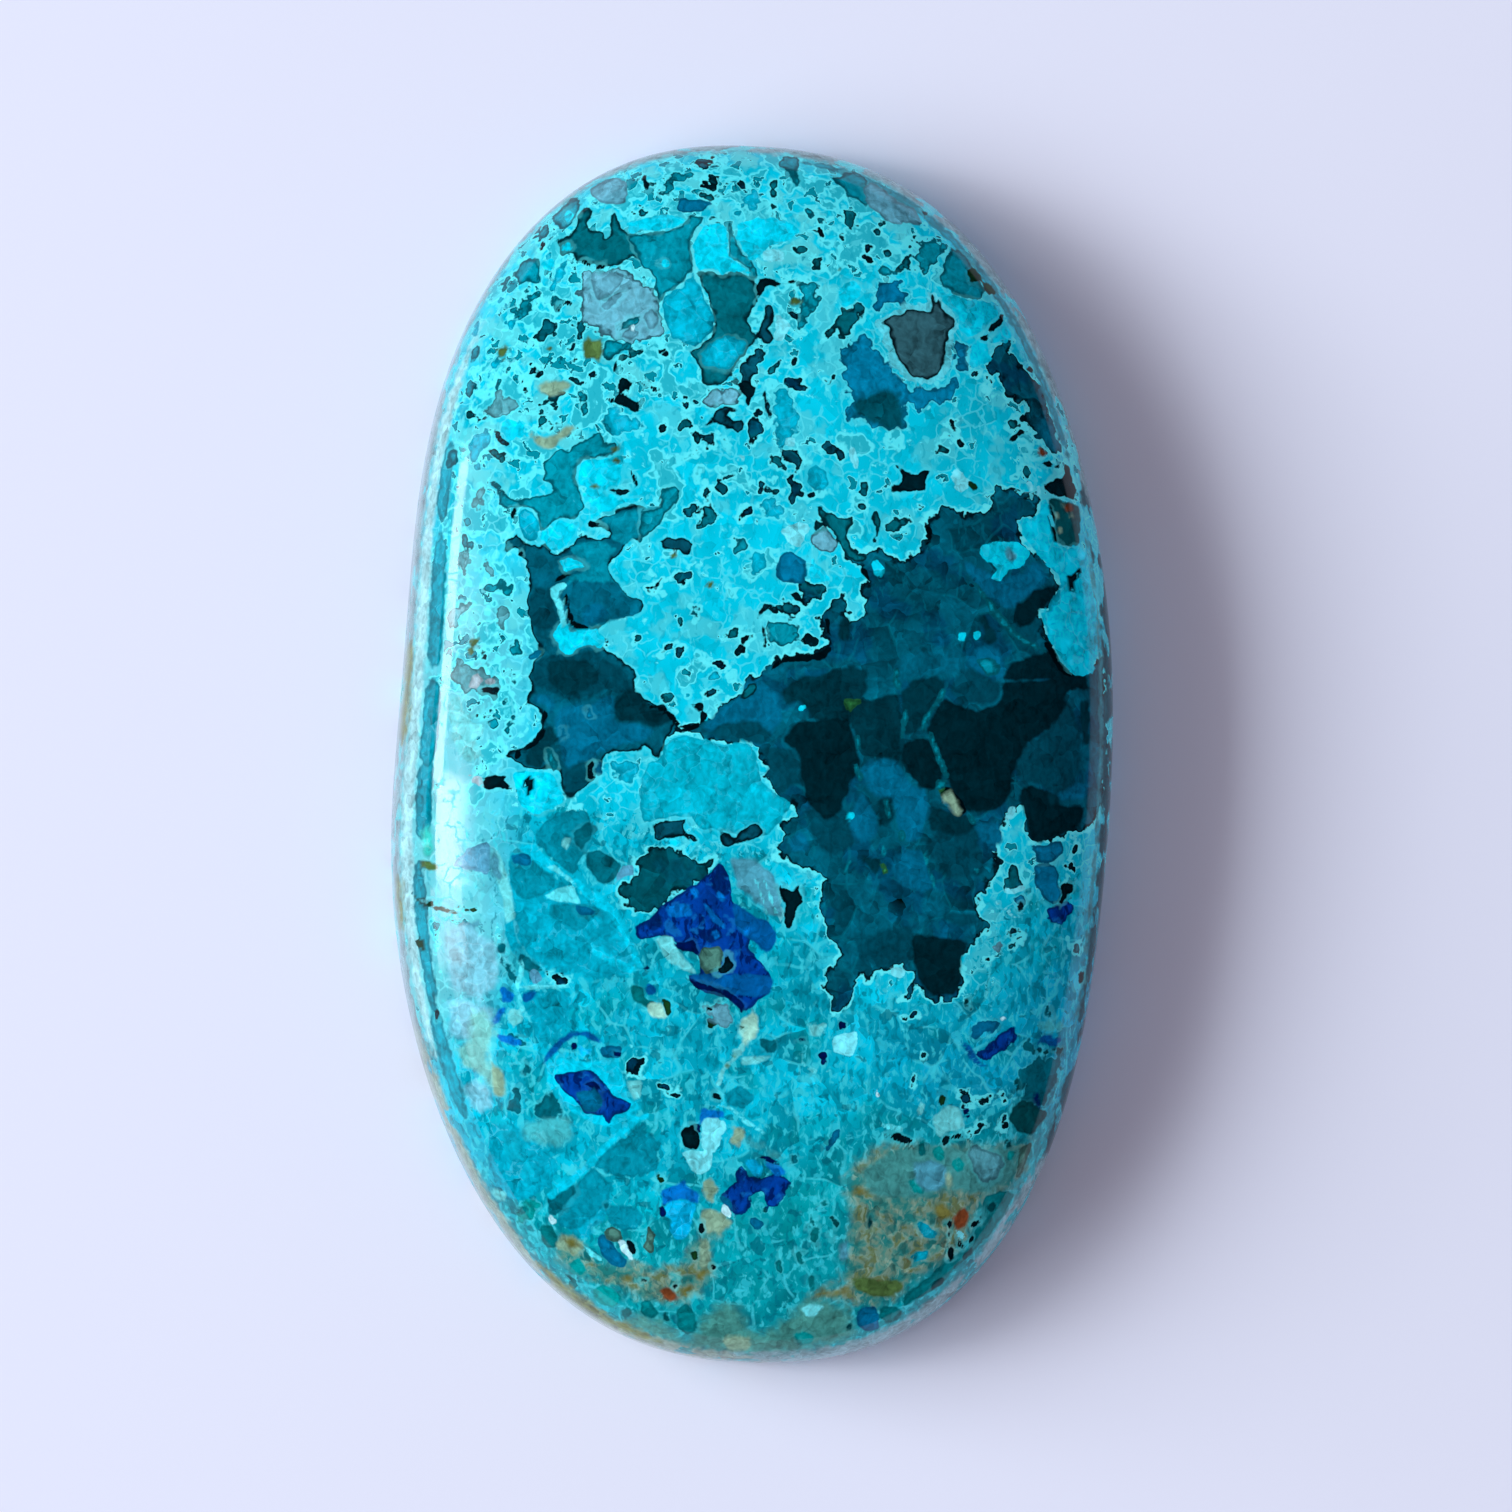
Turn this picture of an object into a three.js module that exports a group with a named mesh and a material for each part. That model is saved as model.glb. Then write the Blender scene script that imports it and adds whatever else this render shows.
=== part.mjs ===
// A polished cabochon of azurite in chrysocolla and quartz: one stone, ground by hand to a long
// freeform oval, flat underneath and domed on top.
//
// Millimetres, +Z up. The long axis lies along Y, and the origin is on the flat base, under the
// middle of the stone's bounding box.
//
// The stone is a stack of closed rings. Every ring is the girdle outline drawn in towards the
// middle, and each lies level: the base's edge, a small bevel, a short upright girdle, and then a
// dome whose section is a superellipse, steep at the wall, tight at the shoulder and low on top.

import * as THREE from 'three';

// ---- Driving dimensions -------------------------------------------------------------------------

const HEIGHT = 6.0; // base to the top of the dome
const BEVEL_IN = 0.45; // how far the base's edge is ground back from the girdle
const BEVEL_TOP = 0.45; // height at which the bevel meets the girdle
const GIRDLE_TOP = 0.85; // height at which the dome's wall starts
const DOME_PLAN = 2.5; // superellipse exponent across the dome
const DOME_RISE = 2.9; // superellipse exponent up the dome

const OUTLINE_SAMPLES = 240; // places where the outline's formula is worked out
const AROUND = 108; // points on each ring
const BEVEL_STEPS = 3; // rings in the rounded bevel
const DOME_STEPS = 22; // rings from the girdle to the top

// The girdle seen from above is a superellipse, a little fuller in some directions than a true one.
// Each lobe has its share of the radius, its number of waves round the stone and its turn in radians.
const HALF_WIDTH = 11.8;
const HALF_LENGTH = 20.05;
const GIRDLE_SQUARENESS = 2.33; // superellipse exponent of the outline
const GIRDLE_LOBES = [
  { share: 0.003, waves: 1, turn: 2.0 },
  { share: 0.004, waves: 2, turn: -0.5 },
  { share: 0.005, waves: 3, turn: 2.4 },
  { share: 0.011, waves: 4, turn: -0.2 },
  { share: 0.0024, waves: 5, turn: 2.6 },
  { share: 0.0024, waves: 6, turn: 1.2 },
];

// Shallow unevenness that grinding leaves on the dome, in the same terms.
const GRINDING_WAVES = [
  { share: 0.0035, waves: 3, turn: 0.6 },
  { share: 0.0022, waves: 5, turn: 2.1 },
  { share: 0.0012, waves: 9, turn: 4.0 },
];

const STONE = { color: 0x14a5b4, roughness: 0.12, metalness: 0 };

// ---- The girdle outline -------------------------------------------------------------------------

// How much a set of waves swells or hollows the stone in one direction, as a share of the radius.
function swellAt(waves, bearing) {
  return waves.reduce(
    (sum, wave) => sum + wave.share * Math.sin(wave.waves * bearing + wave.turn),
    0,
  );
}

function girdleRadius(bearing) {
  const across = Math.abs(Math.cos(bearing) / HALF_WIDTH) ** GIRDLE_SQUARENESS;
  const along = Math.abs(Math.sin(bearing) / HALF_LENGTH) ** GIRDLE_SQUARENESS;
  return (across + along) ** (-1 / GIRDLE_SQUARENESS) * (1 + swellAt(GIRDLE_LOBES, bearing));
}

// The outline as evenly spaced points, moved so that its bounding box is centred on the origin.
function girdleOutline() {
  const samples = [];
  for (let i = 0; i < OUTLINE_SAMPLES; i += 1) {
    const bearing = (i / OUTLINE_SAMPLES) * 2 * Math.PI;
    const radius = girdleRadius(bearing);
    samples.push(new THREE.Vector3(radius * Math.cos(bearing), radius * Math.sin(bearing), 0));
  }
  const points = new THREE.CatmullRomCurve3(samples, true).getSpacedPoints(AROUND).slice(0, AROUND);
  const middle = new THREE.Box3().setFromPoints(points).getCenter(new THREE.Vector3());
  return points.map((p) => p.sub(middle));
}

// ---- The section --------------------------------------------------------------------------------

// One entry for each ring, from the base up: its height, how far it is drawn in from the girdle in
// millimetres, the share of what is left that it keeps, and how much of the grinding shows on it.
function sectionLevels() {
  const levels = [];
  for (let i = 0; i < BEVEL_STEPS; i += 1) {
    const angle = (i / BEVEL_STEPS) * (Math.PI / 2);
    levels.push({
      z: BEVEL_TOP * (1 - Math.cos(angle)),
      drawnIn: BEVEL_IN * (1 - Math.sin(angle)),
      share: 1,
      grinding: 0,
    });
  }
  levels.push({ z: BEVEL_TOP, drawnIn: 0, share: 1, grinding: 0 });
  const rise = HEIGHT - GIRDLE_TOP;
  for (let i = 0; i < DOME_STEPS; i += 1) {
    const angle = (i / DOME_STEPS) * (Math.PI / 2);
    levels.push({
      z: GIRDLE_TOP + rise * Math.sin(angle) ** (2 / DOME_RISE),
      drawnIn: 0,
      share: Math.cos(angle) ** (2 / DOME_PLAN),
      grinding: Math.sin(2 * angle),
    });
  }
  return levels;
}

// ---- The solid ----------------------------------------------------------------------------------

function stoneGeometry() {
  const outline = girdleOutline();
  const levels = sectionLevels();
  const positions = [0, 0, 0];
  for (const level of levels) {
    for (const p of outline) {
      const radius = Math.hypot(p.x, p.y);
      const swell = 1 + level.grinding * swellAt(GRINDING_WAVES, Math.atan2(p.y, p.x));
      const kept = (1 - level.drawnIn / radius) * level.share * swell;
      positions.push(p.x * kept, p.y * kept, level.z);
    }
  }
  positions.push(0, 0, HEIGHT);

  const at = (ring, i) => 1 + ring * AROUND + (i % AROUND);
  const top = positions.length / 3 - 1;
  const faces = [];
  for (let i = 0; i < AROUND; i += 1) {
    faces.push(0, at(0, i + 1), at(0, i));
    for (let ring = 0; ring + 1 < levels.length; ring += 1) {
      faces.push(at(ring, i), at(ring, i + 1), at(ring + 1, i + 1));
      faces.push(at(ring, i), at(ring + 1, i + 1), at(ring + 1, i));
    }
    faces.push(at(levels.length - 1, i), at(levels.length - 1, i + 1), top);
  }

  const geometry = new THREE.BufferGeometry();
  geometry.setAttribute('position', new THREE.Float32BufferAttribute(positions, 3));
  geometry.setIndex(faces);
  geometry.computeVertexNormals();
  return geometry;
}

function makeStone() {
  const stone = new THREE.Mesh(stoneGeometry(), new THREE.MeshStandardMaterial(STONE));
  stone.name = 'stone';
  return stone;
}

const cabochon = new THREE.Group();
cabochon.add(makeStone());

export default cabochon;
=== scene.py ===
"""Looks of a polished cabochon of azurite in chrysocolla and quartz, lying on a pale sheet.

Everything is in metres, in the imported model's frame: +Z up, +Y along the stone, origin on its flat
base. One dense polished skin replaces the plain CAD stone. Its markings are outlines in the
photograph's frame. The script measures how far every point of the skin lies from them and keeps
that on the mesh, and the material makes patches with grain, pale rims and dark edges of it.
"""
import math
from typing import NamedTuple

import bpy
import numpy as np
from mathutils import Matrix, Vector


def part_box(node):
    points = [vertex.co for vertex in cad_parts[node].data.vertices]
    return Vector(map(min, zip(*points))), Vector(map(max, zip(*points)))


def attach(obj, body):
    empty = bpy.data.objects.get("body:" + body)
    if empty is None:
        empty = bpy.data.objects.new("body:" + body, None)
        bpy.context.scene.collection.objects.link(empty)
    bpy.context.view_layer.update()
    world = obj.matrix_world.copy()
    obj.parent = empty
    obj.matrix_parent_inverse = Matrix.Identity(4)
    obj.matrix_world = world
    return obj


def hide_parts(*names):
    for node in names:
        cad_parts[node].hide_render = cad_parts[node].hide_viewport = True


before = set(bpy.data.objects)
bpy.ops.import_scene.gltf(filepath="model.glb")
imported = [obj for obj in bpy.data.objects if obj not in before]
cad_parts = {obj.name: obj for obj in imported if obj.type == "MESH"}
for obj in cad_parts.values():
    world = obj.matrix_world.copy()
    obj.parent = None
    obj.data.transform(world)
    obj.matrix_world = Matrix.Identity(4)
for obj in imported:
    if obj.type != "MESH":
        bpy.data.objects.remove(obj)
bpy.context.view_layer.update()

MM = 0.001

# ---- The photograph's frame ---------------------------------------------------------------------

PHOTO_SIDE = 1512  # pixels each way
PHOTO_CENTRE = PHOTO_SIDE / 2
STONE_PIXEL = (755.0, 751.0)  # where the middle of the stone lies
PIXELS_PER_MM = 30.5

# ---- Camera -------------------------------------------------------------------------------------

CAMERA_DISTANCE = 300 * MM
CAMERA_LEAN_LEFT = math.radians(7.0)
CAMERA_LEAN_FRONT = math.radians(4.0)
CAMERA_AIM_HEIGHT = 1.5 * MM
CAMERA_CLIP_START = 10 * MM
SENSOR_WIDTH = 36.0  # the unit of the lens length


def camera_axes():
    """The camera's place, and the unit vectors to its right, up and back."""
    aim = Vector((
        (PHOTO_CENTRE - STONE_PIXEL[0]) / PIXELS_PER_MM * MM,
        (STONE_PIXEL[1] - PHOTO_CENTRE) / PIXELS_PER_MM * MM,
        CAMERA_AIM_HEIGHT,
    ))
    back = Vector((-math.tan(CAMERA_LEAN_LEFT), -math.tan(CAMERA_LEAN_FRONT), 1.0)).normalized()
    right = Vector((0, 1, 0)).cross(back).normalized()
    up = back.cross(right)
    return aim + back * CAMERA_DISTANCE, right, up, back


def pixels_of(points):
    """The columns and rows at which points of the stone appear in the photograph."""
    place, right, up, back = (np.array(axis) for axis in camera_axes())
    offset = points - place
    depth = -offset @ back
    pixels_per_metre = PIXELS_PER_MM / MM * CAMERA_DISTANCE / depth
    column = PHOTO_CENTRE + (offset @ right) * pixels_per_metre
    row = PHOTO_CENTRE - (offset @ up) * pixels_per_metre
    return column, row


def make_camera():
    place, right, up, back = camera_axes()
    data = bpy.data.cameras.new("camera")
    data.sensor_width = SENSOR_WIDTH
    frame_width = PHOTO_SIDE / PIXELS_PER_MM * MM
    data.lens = SENSOR_WIDTH * CAMERA_DISTANCE / frame_width
    data.clip_start = CAMERA_CLIP_START
    camera = bpy.data.objects.new("camera", data)
    turn = Matrix((right, up, back)).transposed()
    camera.matrix_world = Matrix.Translation(place) @ turn.to_4x4()
    bpy.context.scene.collection.objects.link(camera)
    bpy.context.scene.camera = camera


# ---- The stone's markings, in pixels of the photograph's frame -----------------------------------

# The patches of each part of the stone: for each kind of mineral, the outlines of its patches as
# columns and rows. MINERALS says how a kind looks, and the grains below 4 pixels come from noise.
UPPER_LEFT = {
    "deep teal": [
        [(555, 240), (570, 236), (577, 225), (578, 214), (585, 207), (596, 208), (590, 218), (588, 227),
         (601, 231), (606, 240), (610, 232), (611, 215), (615, 210), (619, 220), (626, 234), (640, 234),
         (645, 248), (640, 261), (632, 256), (622, 263), (612, 268), (600, 266), (588, 264), (582, 259),
         (577, 262), (572, 254), (562, 256)],
        [(535, 332), (539, 322), (547, 318), (560, 326), (556, 333), (547, 338), (540, 341)],
        [(577, 320), (583, 321), (584, 329), (581, 338), (576, 337), (575, 328)],
        [(617, 358), (630, 352), (644, 349), (643, 354), (630, 358), (620, 362)],
        [(568, 377), (578, 378), (589, 385), (580, 387), (572, 383)],
        [(515, 281), (517, 270), (521, 262), (524, 262), (521, 272), (518, 284)],
    ],
    "teal": [
        [(550, 218), (560, 208), (572, 198), (579, 196), (581, 203), (577, 215), (571, 226), (563, 230),
         (555, 225)],
        [(534, 238), (540, 228), (548, 227), (549, 234), (552, 239), (540, 242)],
        [(515, 276), (519, 263), (527, 260), (540, 258), (541, 283), (530, 282), (517, 284)],
        [(502, 291), (505, 275), (512, 267), (510, 277), (507, 290)],
        [(528, 292), (534, 288), (540, 292), (538, 300), (531, 312), (524, 316), (513, 313), (519, 303)],
        [(543, 297), (552, 294), (566, 298), (573, 305), (566, 307), (556, 311), (549, 309), (553, 302)],
        [(605, 340), (625, 342), (635, 347), (618, 354), (608, 362), (602, 356)],
        [(473, 345), (480, 345), (480, 352), (476, 361), (469, 364), (470, 354)],
        [(516, 357), (508, 375), (498, 387), (495, 385), (505, 371)],
    ],
    "sea": [
        [(562, 262), (568, 259), (566, 270), (560, 282), (552, 291), (551, 282), (556, 270)],
        [(493, 301), (500, 295), (508, 299), (505, 305), (496, 306)],
        [(508, 320), (515, 317), (516, 328), (513, 338), (509, 335)],
        [(488, 380), (491, 365), (499, 357), (500, 366), (494, 376), (490, 386)],
        [(473, 323), (480, 322), (479, 336), (473, 337)],
        [(543, 256), (550, 254), (549, 262), (544, 261)],
    ],
    "bright": [
        [(560, 245), (568, 242), (575, 247), (570, 252), (560, 250)],
        [(565, 211), (571, 209), (575, 214), (568, 223), (563, 219)],
        [(540, 262), (553, 258), (558, 262), (550, 272), (543, 272)],
    ],
    "grey quartz": [
        [(589, 189), (600, 181), (615, 177), (627, 182), (628, 195), (622, 206), (610, 205), (596, 202)],
    ],
    "olive": [
        [(581, 350), (587, 335), (594, 340), (603, 338), (603, 350), (599, 363), (594, 358), (585, 358)],
        [(496, 350), (503, 344), (513, 347), (509, 354), (504, 358)],
        [(545, 348), (551, 344), (557, 348), (551, 354)],
    ],
    "black": [
        [(538, 247), (543, 244), (548, 248), (545, 251), (539, 251)],
        [(556, 309), (560, 305), (567, 299), (573, 304), (573, 308), (565, 306), (558, 311)],
        [(570, 347), (573, 345), (574, 353), (578, 357), (573, 357)],
        [(620, 378), (624, 377), (628, 383), (634, 385), (628, 389), (622, 392), (617, 389)],
        [(582, 262), (587, 261), (592, 266), (605, 264), (607, 269), (592, 269)],
    ],
    "ink": [
        [(527, 341), (531, 338), (532, 347), (528, 349)],
        [(532, 362), (535, 364), (534, 374), (531, 381), (529, 376)],
        [(538, 372), (541, 368), (542, 371), (540, 377), (536, 375)],
        [(521, 381), (525, 378), (526, 394), (521, 391)],
        [(611, 372), (614, 362), (618, 360), (617, 368), (613, 375), (607, 374)],
        [(587, 378), (593, 372), (598, 373), (592, 380)],
    ],
}
UPPER_QUARTZ = {
    "quartz": [
        [(583, 272), (592, 269), (605, 269), (620, 266), (633, 270), (640, 282), (648, 288), (656, 293),
         (660, 303), (663, 318), (667, 334), (655, 340), (640, 342), (625, 343), (612, 338), (600, 334),
         (588, 324), (580, 314), (577, 300), (578, 287), (585, 283)],
    ],
    "teal": [
        [(615, 328), (625, 321), (640, 316), (641, 322), (628, 330), (618, 333)],
    ],
    "grey quartz": [
        [(590, 272), (610, 271), (625, 275), (620, 286), (608, 298), (598, 300), (592, 288)],
        [(600, 305), (612, 296), (625, 290), (618, 301), (605, 312)],
        [(618, 336), (630, 325), (640, 333), (632, 340)],
        [(642, 318), (650, 308), (657, 312), (659, 324), (650, 330)],
    ],
    "white": [
        [(628, 327), (634, 324), (637, 329), (632, 333)],
    ],
}
UPPER_MIDDLE = {
    "teal": [
        [(626, 236), (640, 233), (652, 232), (668, 230), (680, 226), (688, 220), (687, 215), (703, 217),
         (703, 223), (696, 230), (691, 242), (692, 256), (694, 269), (686, 277), (680, 286), (672, 290),
         (665, 294), (661, 303), (655, 290), (655, 280), (650, 271), (643, 268), (640, 260)],
        [(727, 221), (732, 221), (733, 235), (739, 246), (745, 256), (758, 267), (757, 279), (750, 278),
         (748, 270), (740, 263), (727, 259), (729, 240)],
        [(797, 283), (805, 280), (820, 283), (818, 297), (822, 304), (812, 309), (806, 322), (800, 334),
         (796, 338), (798, 322), (792, 314), (803, 306), (803, 296)],
        [(778, 163), (784, 156), (800, 158), (797, 172), (801, 180), (797, 188), (790, 175), (784, 168),
         (778, 168)],
        [(829, 175), (840, 176), (852, 170), (863, 176), (870, 186), (872, 196), (867, 207), (858, 200),
         (848, 197), (842, 188), (835, 182)],
        [(668, 175), (676, 170), (688, 171), (699, 172), (693, 178), (684, 181), (673, 179)],
        [(803, 207), (812, 209), (820, 215), (827, 221), (818, 221), (809, 215)],
        [(667, 185), (673, 180), (671, 190), (666, 198), (661, 197)],
    ],
    "deep teal": [
        [(697, 272), (710, 271), (722, 276), (730, 271), (742, 273), (756, 279), (760, 290), (757, 301),
         (752, 312), (747, 318), (752, 330), (756, 339), (750, 348), (740, 360), (733, 369), (728, 379),
         (720, 386), (708, 386), (700, 382), (700, 368), (694, 358), (688, 350), (696, 349), (706, 340),
         (713, 334), (715, 320), (710, 303), (703, 287)],
        [(832, 321), (838, 312), (848, 308), (858, 302), (866, 305), (868, 312), (860, 320), (852, 329),
         (846, 337), (840, 341), (836, 338), (836, 330), (830, 340), (821, 342), (828, 336)],
        [(769, 184), (776, 181), (778, 190), (775, 201), (772, 213), (769, 213), (769, 200)],
        [(843, 210), (850, 206), (853, 213), (853, 223), (857, 233), (857, 241), (853, 240), (849, 228),
         (843, 221)],
        [(700, 195), (715, 193), (716, 199), (712, 201), (703, 199)],
        [(837, 231), (843, 228), (846, 233), (843, 238), (838, 237)],
        [(630, 212), (640, 210), (650, 212), (645, 216), (638, 219)],
        [(813, 259), (820, 257), (822, 264), (819, 273), (815, 267)],
        [(792, 250), (800, 246), (808, 249), (805, 253), (797, 253)],
        [(711, 221), (718, 217), (722, 221), (716, 226), (711, 225)],
        [(650, 183), (656, 182), (660, 188), (657, 191), (652, 187)],
        [(766, 372), (775, 363), (781, 360), (779, 368), (770, 375)],
    ],
    "blue teal": [
        [(677, 200), (682, 197), (692, 199), (700, 199), (713, 203), (706, 210), (695, 212), (683, 212),
         (676, 209)],
    ],
    "sea": [
        [(672, 292), (684, 285), (689, 277), (692, 273), (698, 283), (703, 293), (709, 306), (714, 318),
         (712, 332), (704, 340), (697, 348), (688, 346), (680, 341), (672, 338), (667, 327), (663, 314),
         (662, 303), (665, 296)],
        [(742, 198), (750, 194), (757, 190), (760, 196), (759, 209), (752, 210), (745, 203)],
        [(733, 213), (738, 207), (744, 205), (742, 211), (746, 214), (738, 218)],
        [(711, 229), (720, 228), (720, 234), (713, 236)],
        [(713, 240), (717, 240), (717, 251), (713, 250)],
        [(700, 352), (715, 340), (728, 335), (740, 340), (748, 345), (738, 358), (728, 372), (716, 368),
         (704, 366)],
        [(800, 257), (806, 254), (808, 260), (801, 265)],
    ],
    "bright": [
        [(703, 226), (714, 222), (727, 226), (728, 240), (729, 257), (742, 264), (751, 272), (750, 276),
         (738, 270), (730, 271), (722, 275), (717, 271), (708, 269), (699, 270), (695, 262), (692, 250),
         (694, 239)],
        [(657, 267), (662, 258), (667, 257), (670, 266), (665, 268)],
        [(626, 222), (640, 219), (655, 216), (672, 214), (686, 217), (684, 223), (672, 229), (650, 231),
         (630, 234)],
        [(736, 224), (760, 216), (790, 222), (800, 232), (790, 240), (770, 246), (755, 262), (744, 252),
         (736, 238)],
        [(840, 285), (855, 280), (862, 290), (855, 303), (845, 308), (838, 298)],
    ],
    "black": [
        [(692, 163), (700, 158), (716, 160), (716, 162), (707, 163), (708, 170), (718, 178), (729, 178),
         (728, 182), (720, 183), (716, 188), (705, 189), (701, 186), (708, 182), (705, 172), (700, 165)],
        [(737, 178), (742, 179), (750, 186), (740, 191)],
        [(805, 227), (812, 229), (820, 229), (823, 231), (821, 237), (810, 231)],
        [(862, 256), (866, 247), (869, 240), (874, 239), (870, 248), (870, 257), (874, 262), (869, 263)],
        [(789, 366), (795, 359), (799, 362), (795, 369), (790, 369)],
        [(778, 374), (786, 378), (793, 376), (802, 378), (809, 373), (808, 381), (803, 384), (811, 388),
         (797, 391), (790, 388)],
        [(826, 379), (834, 375), (834, 380), (829, 386)],
        [(757, 279), (768, 277), (779, 282), (788, 281), (798, 280), (790, 284), (778, 284), (766, 288),
         (760, 297), (757, 304), (756, 292)],
    ],
    "ink": [
        [(762, 305), (770, 303), (773, 310), (773, 320), (770, 330), (774, 338), (770, 343), (762, 342),
         (757, 336), (760, 325), (764, 318)],
        [(786, 311), (795, 312), (801, 315), (798, 320), (791, 318)],
        [(752, 348), (760, 347), (767, 353), (762, 361), (758, 370), (752, 380), (755, 387), (746, 389),
         (735, 384), (740, 372), (745, 362)],
        [(731, 381), (738, 376), (743, 381), (736, 386)],
        [(640, 179), (646, 175), (648, 182), (651, 191), (645, 190)],
        [(637, 377), (645, 381), (655, 387), (662, 393), (650, 391), (640, 384)],
        [(656, 353), (663, 348), (673, 350), (664, 354), (658, 358)],
    ],
    "pale": [
        [(762, 252), (772, 248), (784, 252), (783, 262), (770, 262), (764, 259)],
        [(776, 313), (785, 318), (791, 325), (790, 333), (782, 341), (775, 339), (773, 330), (777, 321)],
        [(805, 173), (812, 172), (816, 177), (811, 182), (806, 179)],
    ],
    "olive": [
        [(788, 300), (794, 297), (801, 301), (795, 306), (790, 304)],
        [(832, 272), (840, 267), (842, 271), (835, 275)],
    ],
}
UPPER_RIGHT = {
    "halo": [
        [(874, 322), (882, 316), (899, 309), (904, 303), (926, 305), (928, 292), (938, 292), (944, 302),
         (957, 314), (960, 326), (953, 340), (951, 362), (946, 378), (932, 385), (912, 383), (900, 374),
         (890, 362), (884, 348), (882, 334)],
    ],
    "tooth": [
        [(881, 322), (890, 316), (900, 315), (905, 309), (920, 311), (930, 312), (931, 300), (933, 293),
         (935, 301), (939, 299), (942, 307), (948, 315), (956, 319), (954, 327), (949, 332), (946, 345),
         (945, 358), (942, 370), (936, 376), (925, 379), (913, 377), (904, 368), (896, 357), (892, 345),
         (890, 333), (888, 327)],
    ],
    "blue teal": [
        [(874, 305), (876, 290), (880, 284), (886, 280), (900, 280), (902, 290), (909, 294), (905, 301),
         (895, 303), (884, 307), (878, 312)],
        [(956, 341), (962, 343), (970, 346), (966, 360), (971, 371), (962, 373), (954, 366), (954, 350)],
    ],
    "teal": [
        [(914, 262), (917, 248), (921, 237), (930, 240), (938, 240), (947, 250), (944, 256), (938, 260),
         (933, 268), (926, 274), (920, 267)],
        [(947, 255), (952, 247), (960, 252), (970, 262), (978, 273), (986, 290), (979, 300), (965, 298),
         (955, 294), (946, 288), (938, 280), (943, 271)],
        [(877, 270), (881, 265), (889, 268), (899, 274), (890, 276), (878, 275)],
    ],
    "deep teal": [
        [(905, 244), (909, 235), (915, 234), (917, 240), (911, 251)],
        [(893, 271), (900, 261), (908, 256), (911, 264), (917, 271), (911, 274), (900, 270)],
        [(885, 251), (890, 246), (896, 249), (891, 257)],
        [(875, 237), (879, 222), (884, 225), (880, 235)],
        [(965, 303), (972, 306), (979, 305), (977, 312), (974, 318), (971, 311)],
        [(992, 305), (998, 302), (998, 308), (993, 310)],
        [(921, 212), (926, 209), (930, 214), (924, 221)],
    ],
    "grey quartz": [
        [(862, 186), (872, 181), (884, 190), (897, 200), (915, 209), (921, 216), (922, 226), (905, 223),
         (894, 225), (880, 216), (868, 206)],
    ],
    "moss": [
        [(966, 270), (973, 266), (979, 275), (985, 281), (993, 287), (998, 293), (989, 295), (983, 288),
         (979, 281), (970, 282)],
    ],
    "bright": [
        [(935, 285), (950, 295), (970, 300), (992, 302), (1001, 308), (998, 316), (990, 323), (984, 331),
         (977, 335), (968, 339), (960, 331), (956, 314), (944, 303)],
        [(990, 341), (997, 335), (1004, 325), (1010, 327), (1012, 336), (1005, 342), (994, 344)],
        [(969, 362), (970, 351), (974, 344), (980, 337), (986, 340), (989, 350), (991, 360), (982, 365),
         (972, 370)],
    ],
    "black": [
        [(1000, 316), (1003, 313), (1004, 322), (996, 329), (989, 335), (986, 341), (979, 338),
         (986, 331), (992, 324)],
        [(1023, 368), (1032, 366), (1034, 374), (1028, 372)],
    ],
}
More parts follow.
